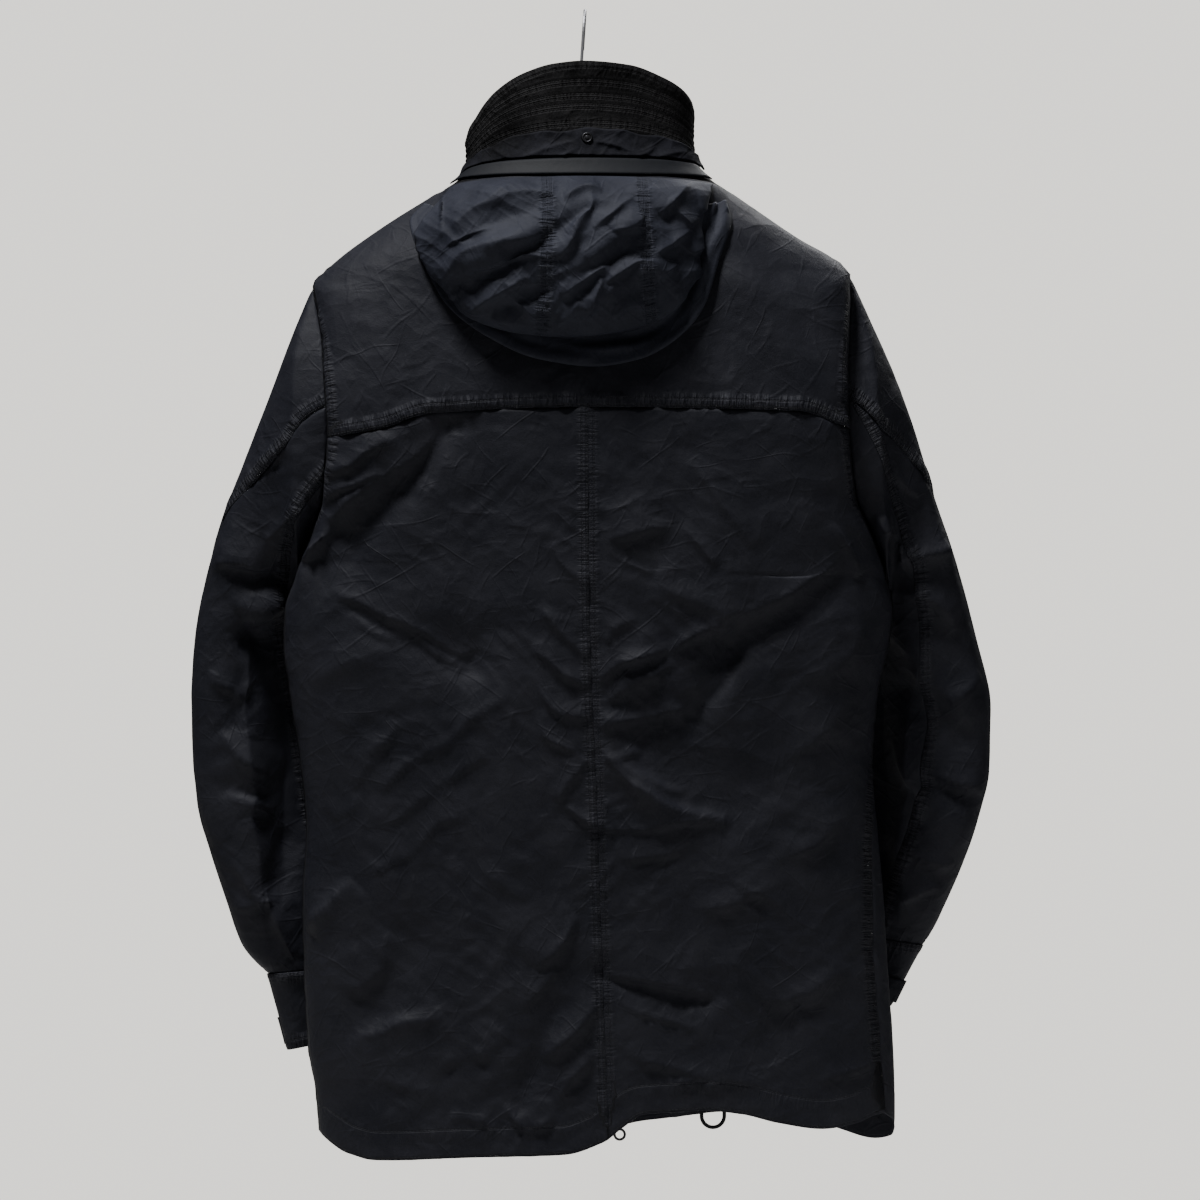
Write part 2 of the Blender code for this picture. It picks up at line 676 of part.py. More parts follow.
def add_object(name, points, faces, look):
    """A closed mesh as its own object, turned to face out."""
    mesh = bpy.data.meshes.new(name)
    mesh.from_pydata([tuple(p) for p in points], [], [tuple(f) for f in faces])
    shape = bmesh.new()
    shape.from_mesh(mesh)
    bmesh.ops.recalc_face_normals(shape, faces=shape.faces)
    if shape.calc_volume(signed=True) < 0:
        bmesh.ops.reverse_faces(shape, faces=shape.faces)
    shape.to_mesh(mesh)
    shape.free()
    mesh.materials.append(material(name, look))
    made = bpy.data.objects.new(name, mesh)
    bpy.context.collection.objects.link(made)
    return made


def vertex_normals(points, triangles):
    a, b, c = (points[triangles[:, k]] for k in range(3))
    face = np.cross(b - a, c - a)
    total = np.zeros_like(points)
    for corner, (p, q, r) in enumerate(((a, b, c), (b, c, a), (c, a, b))):
        u, v = q - p, r - p
        cosine = np.sum(u * v, axis=1) / (np.linalg.norm(u, axis=1) * np.linalg.norm(v, axis=1))
        weight = np.arccos(np.clip(cosine, -1, 1)) / np.linalg.norm(face, axis=1)
        np.add.at(total, triangles[:, corner], face * weight[:, None])
    return total / np.maximum(np.linalg.norm(total, axis=1, keepdims=True), 1e-12)


def add_wall(name, points, normals, triangles, wall, look):
    """A panel with a wall: its edges stop short of the seams, and its inside is moved in."""
    used, index = np.unique(triangles, return_inverse=True)
    faces = index.reshape(-1, 3)
    outer, inward = points[used].copy(), normals[used]
    directed = np.concatenate([faces[:, [0, 1]], faces[:, [1, 2]], faces[:, [2, 0]]])
    owner = np.tile(np.arange(len(faces)), 3)
    there = {tuple(e) for e in directed}
    rim = [(tuple(e), f) for e, f in zip(directed, owner, strict=True) if (e[1], e[0]) not in there]
    ways = {}
    for (a, b), f in rim:
        p, q, r = (outer[k] for k in faces[f])
        way = np.cross(np.cross(q - p, r - p), outer[b] - outer[a])
        way /= np.linalg.norm(way)
        ways.setdefault(a, []).append(way)
        ways.setdefault(b, []).append(way)
    moved = outer.copy()
    for k, found in ways.items():
        total = np.sum(found, axis=0)
        moved[k] += SEAM * MM * total / max(float(total @ total) / len(found), 0.35)
    inner = moved - inward * wall * MM
    count = len(used)
    sides = []
    for (a, b), _ in rim:
        sides += [(b, a, a + count), (b, a + count, b + count)]
    whole = np.concatenate([faces, faces[:, ::-1] + count, np.array(sides)])
    return add_object(name, np.concatenate([moved, inner]), whole, look)


def grid_triangles(ids, other_way=False):
    """Two triangles for each cell of a grid of vertex numbers, split along either diagonal."""
    a, b, c, d = ids[:-1, :-1], ids[1:, :-1], ids[1:, 1:], ids[:-1, 1:]
    one = np.stack([a, b, c, a, c, d], axis=-1)
    other = np.stack([a, b, d, b, c, d], axis=-1)
    return np.where(other_way, other, one).reshape(*a.shape, 2, 3)


def add_sheet(name, points, wall, look, inside=(0.0, SIDE_Y)):
    """A wall on a grid of its own, moved in from the given outer points towards an upright axis."""
    rows, columns = points.shape[:2]
    ids = np.arange(rows * columns).reshape(rows, columns)
    triangles = grid_triangles(ids).reshape(-1, 3)
    flat = to_world(points.reshape(-1, 3))
    normals = vertex_normals(flat, triangles)
    facing = np.sum(normals[:, :2] * (flat[:, :2] - np.array(inside) * MM))
    if facing < 0:
        triangles, normals = triangles[:, ::-1], -normals
    return add_wall(name, flat, normals, triangles, wall, look)


# ---------------------------------------------------------------- the shell


def shell_surface():
    """All of the shell as one welded surface: points, and each panel's triangles by name."""
    points, panels = [], {}
    start = 0

    def add(block):
        nonlocal start
        ids = np.arange(start, start + block[..., 0].size).reshape(block.shape[:-1])
        points.append(block.reshape(-1, 3))
        start += ids.size
        return ids

    def cut(name, cells):
        panels.setdefault(name, []).append(cells.reshape(-1, 3))

    last_row = YOKE_ROWS + CHEST_ROWS + SKIRT_ROWS
    pit_row = YOKE_ROWS + CHEST_ROWS
    rows = np.arange(last_row + 1.0)[:, None]
    shares = {face: torso_shares(face) for face in ("back", "front")}
    back = add(torso_point(shares["back"][None], rows, "back"))
    front = add(torso_point(shares["front"][None], rows, "front"))
    right = len(shares["back"]) - 1
    front[0, : SHOULDER_CELLS + 1] = back[0, : SHOULDER_CELLS + 1]
    front[0, -SHOULDER_CELLS - 1 :] = back[0, -SHOULDER_CELLS - 1 :]
    front[pit_row:, 0], front[pit_row:, -1] = back[pit_row:, 0], back[pit_row:, right]

    cells, middle = grid_triangles(back), right // 2
    cut("back_yoke", cells[:YOKE_ROWS])
    cut("back_left", cells[YOKE_ROWS:, :middle])
    cut("back_right", cells[YOKE_ROWS:, middle:])
    cells, middle = grid_triangles(front[:, ::-1]), (front.shape[1] - 1) // 2
    cut("front_right", cells[:, : middle - 1])
    cut("zip_tape_right", cells[:, middle - 1 : middle])
    cut("zip_tape_left", cells[:, middle : middle + 1])
    cut("front_left", cells[:, middle + 1 :])

    neck = slice(SHOULDER_CELLS, -SHOULDER_CELLS)
    round_neck = np.concatenate([back[0, neck], front[0, neck][::-1][1:-1]])
    back_x = points[0].reshape(*back.shape, 3)[0, neck, 0]
    front_x = points[1].reshape(*front.shape, 3)[0, neck, 0][::-1][1:-1]
    angles = np.concatenate([neck_angle(back_x, "back"), neck_angle(front_x, "front")])
    collar = add(collar_point(angles[None], COLLAR_STEPS[1:, None]))
    collar = np.concatenate([round_neck[None], collar])
    collar = np.concatenate([collar, collar[:, :1]], axis=1)
    cells = grid_triangles(collar[::-1])
    zip_at = len(back_x) - 1 + front_x.size // 2
    cut("collar_band", cells[:, :zip_at])
    cut("zip_tape_right", cells[:, zip_at : zip_at + 1])
    cut("zip_tape_left", cells[:, zip_at + 1 : zip_at + 2])
    cut("collar_band", cells[:, zip_at + 2 :])

    for side in ("left", "right"):
        column = 0 if side == "left" else -1
        down, up = back[: pit_row + 1, column], front[1:pit_row, column][::-1]
        ring_count = len(LEFT_SLEEVE["outer_x"])
        rings, around = np.arange(1.0, ring_count)[:, None], np.arange(float(SLEEVE_AROUND))[None]
        sleeve = add(sleeve_point(side, rings, around))
        cuff = add(cuff_point(side, np.arange(1.0, len(LEFT_CUFF["outer_x"]))[:, None], around))
        tube = np.concatenate([np.concatenate([down, up])[None], sleeve, cuff])
        tube = np.concatenate([tube, tube[:, :1]], axis=1)
        on_back = np.arange(SLEEVE_AROUND) < SLEEVE_AROUND // 2
        cells = grid_triangles(tube, on_back[None, :, None])
        cut_sleeve(side, cells if side == "left" else cells[..., ::-1], ring_count - 1, cut)
    surface = to_world(np.concatenate(points))
    return surface, {name: np.concatenate(parts) for name, parts in panels.items()}


def cut_sleeve(side, cells, cuff_ring, cut):
    """The cap above its V seam, the upper and under sleeve, and the cuff."""
    top_edge = {"left": 6, "right": 4}[side]
    front_edge = SLEEVE_AROUND - 8
    for ring in range(cells.shape[0]):
        for column in range(SLEEVE_AROUND):
            pair = cells[ring, column]
            if ring >= cuff_ring:
                cut(f"{side}_cuff", pair)
                continue
            lower = "sleeve_under" if top_edge <= column < front_edge else "sleeve_top"
            near = min(column, SLEEVE_AROUND - 1 - column)
            border = CAP_RINGS - 1 - ring
            if near < border:
                cut(f"{side}_sleeve_cap", pair)
            elif near == border and ring < CAP_RINGS:
                cap_half = 0 if column < SLEEVE_AROUND // 2 else 1
                cut(f"{side}_sleeve_cap", pair[cap_half])
                cut(f"{side}_{lower}", pair[1 - cap_half])
            else:
                cut(f"{side}_{lower}", pair)


# ---------------------------------------------------------------- trim, zip and hanger


def add_cord(name, points, radius, look):
    """A round cord or wire through the given points, as a curve with filled ends."""
    curve = bpy.data.curves.new(name, "CURVE")
    curve.dimensions = "3D"
    curve.bevel_depth, curve.bevel_resolution, curve.use_fill_caps = radius * MM, 2, True
    spline = curve.splines.new("POLY")
    spline.points.add(len(points) - 1)
    for spot, place in zip(spline.points, to_world(points), strict=True):
        spot.co = (*place, 1.0)
    curve.materials.append(material(name, look))
    made = bpy.data.objects.new(name, curve)
    bpy.context.collection.objects.link(made)
    return made


def arc(middle, radius, start, stop, steps):
    """Points of a circle in a plane, as (across, drop), from start to stop in degrees."""
    turn = np.radians(np.linspace(start, stop, steps))
    return [(middle[0] + radius * np.cos(t), middle[1] - radius * np.sin(t)) for t in turn]


def add_strip(name, look):
    """A strip of cloth or tape on the collar, made from the collar's points moved out."""
    strip = STRIPS[name]
    columns = neck_columns()
    (start, stop), (low, high) = strip["round"], strip["up"]
    angle = [start, *columns[(columns > start + 2) & (columns < stop - 2)], stop]
    share = [high, *COLLAR_STEPS[(COLLAR_STEPS > low) & (COLLAR_STEPS < high)][::-1], low]
    angle, share = np.meshgrid(angle, share)
    collar = across_faces(collar_point, columns, COLLAR_STEPS)
    points = moved_out(collar, angle, share, CLEAR + strip["wall"], (0.5, 0.005))
    return add_sheet(name, points, strip["wall"], look)


def add_snap(look):
    """The press stud on the flap, a low turned cap."""
    lift = CLEAR * 2 + STRIPS["collar_flap"]["wall"]
    spot = np.array([SNAP_ANGLE]), np.array([SNAP_SHARE])
    collar = across_faces(collar_point, neck_columns(), COLLAR_STEPS)
    base = to_world(moved_out(collar, *spot, lift))[0]
    top = to_world(moved_out(collar, *spot, lift + SNAP_HEIGHT))[0]
    shape = bmesh.new()
    rim = SNAP_RADIUS * MM
    bmesh.ops.create_cone(
        shape, cap_ends=True, segments=20, radius1=rim, radius2=rim * 0.86, depth=SNAP_HEIGHT * MM
    )
    mesh = bpy.data.meshes.new("flap_snap")
    shape.to_mesh(mesh)
    shape.free()
    mesh.materials.append(material("flap_snap", look))
    made = bpy.data.objects.new("flap_snap", mesh)
    bpy.context.collection.objects.link(made)
    made.location = (base + top) / 2
    made.rotation_euler = Vector(top - base).to_track_quat("Z", "Y").to_euler()
    return made


def add_hood(look):
    """Three panels and the brim band. The panels share their normals at the two seams."""
    share = np.linspace(0, 1, HOOD_ROWS + 1)[:, None]
    across = np.concatenate(
        [np.linspace(k, k + 1, n + 1)[(k > 0) :] for k, n in enumerate(HOOD_CELLS)]
    )
    points = hood_point(across[None], share)
    ids = np.arange(points[..., 0].size).reshape(points.shape[:2])
    cells, flat = grid_triangles(ids), to_world(points.reshape(-1, 3))
    normals = vertex_normals(flat, cells.reshape(-1, 3))
    edge = 0
    for name, count in zip(("hood_left", "hood_centre", "hood_right"), HOOD_CELLS, strict=True):
        panel = cells[:, edge : edge + count].reshape(-1, 3)
        add_wall(name, flat, normals, panel, HOOD_WALL, look)
        edge += count
    along = np.linspace(0, len(BRIM["x"]) - 1, 2 * len(BRIM["x"]) - 1)[None]
    add_sheet("hood_brim", brim_point(along, np.array([0, 0.5, 1])[:, None]), BRIM_WALL, look)


def add_cuff_tab(side, look):
    """The strap across a cuff. The right one ends past the cuff's outer line."""
    columns, rows = np.arange(SLEEVE_AROUND + 1.0), np.arange(float(len(LEFT_CUFF["outer_x"])))
    around, ring = np.meshgrid(TAB_AROUND[side], TAB_RINGS)
    ends = cuff_point(side, ring, 0 * around), cuff_point(side, ring, 0 * around + SLEEVE_AROUND / 2)
    axis = ((ends[0] + ends[1]) / 2)[..., :2].mean((0, 1))
    cuff = across_faces(lambda u, v: cuff_point(side, v, u), columns, rows)
    points = moved_out(cuff, around, ring, CLEAR + TAB_WALL, (0.1, 0.05), axis)
    if side == "right":
        run = points[:, -1] - points[:, -2]
        end = points[:, -1] + run / np.linalg.norm(run, axis=-1, keepdims=True) * TAB_PAST
        points = np.concatenate([points, end[:, None]], axis=1)
    add_sheet(f"{side}_cuff_tab", points, TAB_WALL, look, axis)


def zip_line():
    """Points down the middle of the zip, from the collar's top to the hem."""
    up = COLLAR_STEPS[::-1]
    down = np.arange(1.0, YOKE_ROWS + CHEST_ROWS + SKIRT_ROWS + 1)
    foot = torso_point(0.0, 0.0, "front")
    collar = collar_point(neck_angle(foot[0], "front"), up)
    return np.concatenate([collar, torso_point(0.0, down, "front")])


def on_zip(drop):
    line = zip_line()
    return np.array([np.interp(drop, line[:, 2], line[:, k]) for k in range(3)])


def add_chain(look):
    """The row of teeth between the sliders, as one bar on the tapes."""
    line = zip_line()
    ends = UPPER_SLIDER + SLIDER_HIGH / 2 + CLEAR, LOWER_SLIDER - SLIDER_HIGH / 2 - CLEAR
    inside = line[(line[:, 2] > ends[0] + 4) & (line[:, 2] < ends[1] - 4)]
    middle = np.concatenate([on_zip(ends[0])[None], inside, on_zip(ends[1])[None]])
    out = np.array([0, CLEAR * 1.5 + CHAIN_WALL, 0])
    points = np.stack([middle + out - (CHAIN_HALF, 0, 0), middle + out + (CHAIN_HALF, 0, 0)], axis=1)
    add_sheet("zip_chain", points, CHAIN_WALL, look)


def box_part(shape, size, place):
    made = bmesh.ops.create_cube(shape, size=1.0)["verts"]
    for corner in made:
        corner.co = Vector([corner.co[k] * size[k] + place[k] for k in range(3)])


def join_parts(name, parts, look, place):
    """Closed parts made one by an exact union, with the object's origin at the given place."""
    made = []
    for index, part in enumerate(parts):
        mesh = bpy.data.meshes.new(name)
        part.to_mesh(mesh)
        part.free()
        thing = bpy.data.objects.new(name if index == 0 else f"{name}_part_{index}", mesh)
        bpy.context.collection.objects.link(thing)
        thing.location = place
        made.append(thing)
    for other in made[1:]:
        other.hide_render, other.display_type = True, "WIRE"
        union = made[0].modifiers.new("union", "BOOLEAN")
        union.operation, union.object, union.solver = "UNION", other, "EXACT"
    made[0].data.materials.append(material(name, look))
    return made[0]


def torus_part(radius, wire, middle, normal_axis, around=14, section=6):
    """A ring in metres: normal_axis 0 lies in the Y-Z plane and 1 in the X-Z plane."""
    shape = bmesh.new()
    grid = []
    for i in range(around):
        a = 2 * math.pi * i / around
        row = []
        for k in range(section):
            b = 2 * math.pi * k / section
            reach = radius + wire * math.cos(b)
            flat = (reach * math.cos(a), reach * math.sin(a), wire * math.sin(b))
            spot = (flat[2], flat[0], flat[1]) if normal_axis == 0 else (flat[0], flat[2], flat[1])
            row.append(shape.verts.new([(spot[n] + middle[n]) * MM for n in range(3)]))
        grid.append(row)
    for i in range(around):
        for k in range(section):
            j, m = (i + 1) % around, (k + 1) % section
            shape.faces.new((grid[i][k], grid[j][k], grid[j][m], grid[i][m]))
    bmesh.ops.recalc_face_normals(shape, faces=shape.faces)
    return shape


def bar_part(size, middle, bevel=0.0):
    """A block in metres, with its long edges eased."""
    shape = bmesh.new()
    box_part(shape, [s * MM for s in size], [m * MM for m in middle])
    if bevel:
        bmesh.ops.bevel(shape, geom=shape.edges[:], offset=bevel * MM, segments=1, affect="EDGES")
    bmesh.ops.recalc_face_normals(shape, faces=shape.faces)
    return shape


def add_slider(name, drop, look):
    """A slider on the tapes with its bail, and the place of the bail's middle."""
    spot = on_zip(drop)
    back = CLEAR * 1.5
    place = to_world(spot + (0, back + SLIDER_THICK + BAIL_OFF, BAIL_DOWN))
    body = bar_part(
        (2 * SLIDER_HALF, SLIDER_THICK, SLIDER_HIGH),
        (0, -BAIL_OFF - SLIDER_THICK / 2, BAIL_DOWN),
        0.9,
    )
    bail = torus_part(BAIL_RADIUS, BAIL_WIRE, (0, 0, 0), 0)
    join_parts(name, [body, bail], look, place)
    return place


def add_pull(name, place, look):
    """A pull tab with a ring at its end, hung on the bail by a bar. Its origin is that bar."""
    wide = 2 * (PULL_GAP + PULL_ARM)
    parts = [bar_part((wide, PULL_BAR, PULL_BAR), (0, 0, 0))]
    for side in (-1, 1):
        middle = side * (PULL_GAP + PULL_ARM / 2)
        parts.append(bar_part((PULL_ARM, PULL_BAR + 0.1, PULL_FORK + 0.5), (middle, 0, -PULL_FORK / 2)))
    parts.append(bar_part((wide, PULL_BAR + 0.2, PULL_BRIDGE), (0, 0, -PULL_FORK)))
    neck = PULL_LONG - PULL_EYE_RADIUS - PULL_FORK
    parts.append(bar_part((PULL_NECK, PULL_BAR + 0.3, neck + 2), (0, 0, -PULL_FORK - neck / 2)))
    parts.append(torus_part(PULL_EYE_RADIUS, PULL_EYE_WIRE, (0, 0, -PULL_LONG), 1, PULL_EYE_SIDES))
    join_parts(name, parts, look, place)


def add_hem_cord(look):
    """The loop of drawcord that hangs out of the front hem."""
    x, half = CORD_LOOP["x"], CORD_LOOP["half"]
    turn = CORD_LOOP["bottom"] - half
    side = np.linspace(CORD_LOOP["top"], turn, 5)[:-1]
    bend = arc((x, turn), half, 180, 360, 11)
    path = [(x - half, d) for d in side] + bend + [(x + half, d) for d in side[::-1]]
    across, drop = (np.array(c) for c in zip(*path, strict=True))
    lift = -(SHELL + CLEAR + CORD_RADIUS + 0.2)
    y = lifted_y(across, np.minimum(drop, CORD_LOOP["bottom"] - 16), "front", lift)
    points = np.stack([across, np.full_like(y, y.min()), drop], axis=1)
    return add_cord("hem_cord", points, CORD_RADIUS, look)


def add_hook(look):
    """The hanger's wire: a crook over the rail and a shank down into the hanger."""
    centre = HOOK_RADIUS - HOOK_WIRE
    path = [(HOOK_RADIUS, HOOK_TIP), (HOOK_RADIUS, (HOOK_TIP + centre) / 2)]
    path += arc((0, centre), HOOK_RADIUS, 0, 180, 19)
    path += [(-HOOK_RADIUS, d) for d in (30, 45, 60, 76)]
    path += [(-HOOK_RADIUS + 2.5, 86), (-HOOK_RADIUS + 9, 96), (SIDE_Y - 6, 104)]
    path += [(SIDE_Y - 1, 109), (SIDE_Y, HANGER_NECK[1])]
    y, drop = (np.array(c, float) for c in zip(*path, strict=True))
    x = np.interp(drop, (0, 45, HANGER_NECK[1]), (0, -3, HANGER_NECK[0]))
    return add_cord("hanger_hook", np.stack([x, y, drop], axis=1), HOOK_WIRE, look)


def add_hanger(look):
    """The hanger's two arms, which follow the shoulder cloth from underneath."""
    shoulder = torso_point(torso_shares("back"), 0.0, "back")[:, 0]
    shoulder = shoulder[(np.abs(shoulder) > NECK_HALF - 1) & (np.abs(shoulder) < HANGER_HALF)]
    middle = HANGER_RISE["x"] + HANGER_NECK[0] * (1 - np.abs(HANGER_RISE["x"]) / NECK_HALF)
    x = np.sort(np.concatenate([[-HANGER_HALF, HANGER_HALF], shoulder, middle]))
    under = top_drop(x, "back")
    slope = (top_drop(x + 3, "back") - top_drop(x - 3, "back")) / 6
    under = under + (SHELL + 1.5 * CLEAR) * np.sqrt(1 + slope**2)
    under = under + np.interp(np.abs(x), (NECK_HALF + 4, NECK_HALF + 40), (2.2, 0))
    foot = under[np.argmin(np.abs(x - NECK_HALF))]
    top = np.where(np.abs(x) < NECK_HALF - 1, foot - np.interp(x, middle, HANGER_RISE["rise"]), under)
    taper = np.clip((HANGER_HALF + 20 - np.abs(x)) / 80, 0.3, 1)
    rings = [
        np.stack(
            [
                np.full(len(HANGER_SECTION["across"]), at),
                SIDE_Y + HANGER_DEEP * share * HANGER_SECTION["across"],
                drop + HANGER_HIGH * share * HANGER_SECTION["down"],
            ],
            axis=-1,
        )
        for at, drop, share in zip(x, top, taper, strict=True)
    ]
    count, last = len(HANGER_SECTION["across"]), len(x) - 1
    faces = [list(range(count)), [last * count + k for k in range(count)][::-1]]
    for i in range(last):
        for k in range(count):
            near, far = i * count, (i + 1) * count
            m = (k + 1) % count
            faces.append([near + k, near + m, far + m, far + k])
    add_object("hanger_arms", to_world(np.concatenate(rings)), faces, look)


def main():
    for thing in list(bpy.data.objects):
        bpy.data.objects.remove(thing, do_unlink=True)
    surface, panels = shell_surface()
    normals = vertex_normals(surface, np.concatenate(list(panels.values())))
    for name, triangles in panels.items():
        look = "zip_tape" if name.startswith("zip") else "shell"
        add_wall(name, surface, normals, triangles, SHELL, "faded" if name == "collar_band" else look)
    add_strip("neck_tape", "rubber")
    add_strip("collar_flap", "thin")
    add_snap("dark_metal")
    add_hood("thin")
    for side in ("left", "right"):
        add_cuff_tab(side, "shell")
    add_chain("dark_metal")
    for name, drop in (("lower", LOWER_SLIDER), ("upper", UPPER_SLIDER)):
        place = add_slider(f"zip_slider_{name}", drop, "dark_metal")
        add_pull(f"zip_pull_{name}", place, "dark_metal")
    add_hem_cord("cord")
    add_hook("steel")
    add_hanger("wood")


main()
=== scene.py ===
"""A field parka on a hanger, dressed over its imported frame.

Every length in the tables is in millimetres, and "drop" is the distance below the frame's origin,
the inside of the hook's crown. The cloth is worked out on the same lines as the frame's solids:
one surface for the whole shell, which is creased and puckered as a whole and then cut into panels.
"""

import functools
import math

import bmesh
import bpy
import numpy as np
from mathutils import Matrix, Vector
from mathutils.kdtree import KDTree


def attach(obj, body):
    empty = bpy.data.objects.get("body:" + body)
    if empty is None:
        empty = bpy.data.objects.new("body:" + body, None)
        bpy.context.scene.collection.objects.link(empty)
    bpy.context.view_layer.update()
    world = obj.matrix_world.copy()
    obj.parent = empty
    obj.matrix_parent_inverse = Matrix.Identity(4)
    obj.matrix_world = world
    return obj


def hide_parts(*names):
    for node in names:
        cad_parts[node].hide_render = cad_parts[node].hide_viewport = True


bl_info = {
    "name": "Field parka",
    "version": (1, 0, 0),
    "blender": (4, 5, 0),
    "location": "View3D > Sidebar > Parka",
    "description": "Builds a field parka on its hanger, piece by piece",
    "category": "Add Mesh",
}

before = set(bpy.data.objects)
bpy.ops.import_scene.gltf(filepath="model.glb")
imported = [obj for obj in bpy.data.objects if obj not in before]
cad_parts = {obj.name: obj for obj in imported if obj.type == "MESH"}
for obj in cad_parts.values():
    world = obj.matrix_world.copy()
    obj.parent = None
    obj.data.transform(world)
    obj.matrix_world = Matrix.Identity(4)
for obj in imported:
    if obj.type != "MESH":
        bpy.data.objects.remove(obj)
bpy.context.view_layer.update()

MM = 0.001
SHELL = 1.8  # shell cloth with its seam allowances
CLEAR = 0.4  # air between a piece and what it lies on

# Columns of the torso grid: cells on a shoulder, from the neck to the centre, and in the zip
SHOULDER_CELLS, NECK_CELLS = 5, 7
NECK_SHARE = 0.529  # where the neck point falls, as a share of the half width
# Rows of the torso grid: shoulder to yoke seam, yoke seam to armpit, armpit to hem
YOKE_ROWS, CHEST_ROWS, SKIRT_ROWS = 5, 5, 14
YOKE_STEPS = (0, 0.05, 0.19, 0.43, 0.8, 1)
CHEST_STEPS = (0, 0.31, 0.59, 0.81, 0.95, 1)
SIDE_Y = 5.0  # the shoulder and side seams lie in this plane
TOP_ROUND = 78.0  # how far down the shoulder rounds over
BACK_FULL, FRONT_FULL = 0.6, 1.3  # powers: a full back and a flatter front
NECK_HALF, NECK_BACK, NECK_FRONT = 118.0, 60.0, 57.0
ARMHOLE_HALF = 48.0
ZIP_HALF = 9.0  # half the width of zip tape that shows

SLEEVE_AROUND = 20  # cells round a sleeve
CAP_RINGS = 4  # the diagonal seam of the cap ends at this ring
# Columns where the upper sleeve ends and the under sleeve begins, on the back and on the front
TOP_EDGE, FRONT_EDGE = {"left": 6, "right": 4}, SLEEVE_AROUND - 8


def table(names, *rows):
    """A short table, as one array for each named column."""
    columns = zip(*rows, strict=True)
    return {n: np.array(c, float) for n, c in zip(names.split(), columns, strict=True)}


TORSO = table(
    "drop left right back front",
    (140, -226, 220, 66, 42),
    (222, -226, 220, 72, 50),
    (272, -218, 218, 76, 53),
    (322, -214, 217, 79, 55),
    (355, -212, 218, 80, 55),
    (401, -216, 223, 80, 55),
    (430, -226, 236, 80, 54),
    (457, -238, 247, 79, 54),
    (475, -244, 252, 79, 53),
    (496, -250, 256, 78, 53),
    (521, -251, 253, 77, 53),
    (571, -245, 243, 75, 52),
    (621, -237, 239, 73, 51),
    (679, -232, 243, 71, 50),
    (737, -235, 248, 69, 50),
    (787, -234, 251, 68, 50),
    (862, -230, 256, 67, 50),
    (895, -224, 257, 66, 50),
    (950, -219, 257, 66, 50),
)
CENTRE = table(
    "drop back front",
    (140, 3, 3),
    (235, 3, 3),
    (334, 3, 7),
    (488, 4, 14),
    (654, 10, 22),
    (800, 15, 27),
    (911, 19, 29),
    (950, 20, 29),
)
# The right side seam turns onto the back below the hip: its angle from the middle of the back
RIGHT_SEAM = table(
    "drop degrees", (600, 90), (650, 82), (700, 75), (787, 71), (870, 72), (930, 75)
)
TOP_LINE = table(
    "x back front",
    (-226, 227, 227),
    (-207, 207, 207),
    (-178, 185, 185),
    (-141, 161, 161),
    (-118, 148, 148),
    (-100, 142, 166),
    (-60, 139, 189),
    (0, 138, 203),
    (60, 139, 189),
    (100, 142, 166),
    (118, 148, 148),
    (135, 159, 159),
    (178, 188, 188),
    (207, 205, 205),
    (220, 218, 218),
)
# Seam and hem lines across the torso, by share of the half width from the centre
YOKE_SEAM = table("share drop", (-1, 355), (-0.78, 347), (-0.6, 335), (0, 330), (0.8, 333), (1, 347))
HEM = table(
    "share back front",
    (-1, 928, 928),
    (-0.9, 944, 936),
    (-0.8, 949, 940),
    (-0.5, 946, 937),
    (-0.15, 943, 934),
    (-0.03, 934, 930),
    (0.06, 921, 925),
    (0.15, 910, 922),
    (0.3, 908, 917),
    (0.4, 907, 915),
    (0.55, 910, 918),
    (0.7, 918, 928),
    (0.85, 923, 936),
    (0.95, 919, 932),
    (1, 911, 911),
)
ARMHOLE = {"left": (227.0, 455.0), "right": (218.0, 470.0)}

# Folds as soft troughs (+) and ridges (-) along a line from (x0, drop0) to (x1, drop1)
FOLD_COLUMNS = "x0 drop0 x1 drop1 width depth"
BACK_FOLDS = table(
    FOLD_COLUMNS,
    (-112, 346, -190, 440, 15, 7),
    (-165, 383, -205, 399, 11, 4),
    (-203, 430, -222, 437, 11, 6),
    (-88, 350, -94, 520, 24, 4),
    (-200, 477, -95, 538, 22, 6),
    (128, 225, 196, 320, 17, -4),
    (203, 350, 240, 432, 12, -4),
    (207, 455, 112, 526, 24, 6),
    (120, 530, 92, 584, 11, 5),
    (62, 602, 118, 646, 36, 8),
    (18, 588, 64, 664, 10, -4),
    (16, 796, 98, 814, 13, 5),
    (-176, 828, -142, 772, 26, 6),
    (-226, 655, -192, 760, 20, 4),
    (150, 850, 186, 802, 24, 5),
    (-22, 822, -54, 900, 11, 4),
)
FRONT_FOLDS = table(
    FOLD_COLUMNS,
    (150, 300, 186, 410, 16, 5),
    (-150, 310, -182, 420, 15, 5),
    (-60, 420, -150, 520, 22, 5),
    (70, 450, 160, 540, 24, 6),
    (-50, 600, -130, 640, 18, 5),
    (60, 640, 140, 700, 20, 5),
    (-150, 720, -90, 790, 22, 6),
    (150, 780, 110, 860, 20, 5),
)

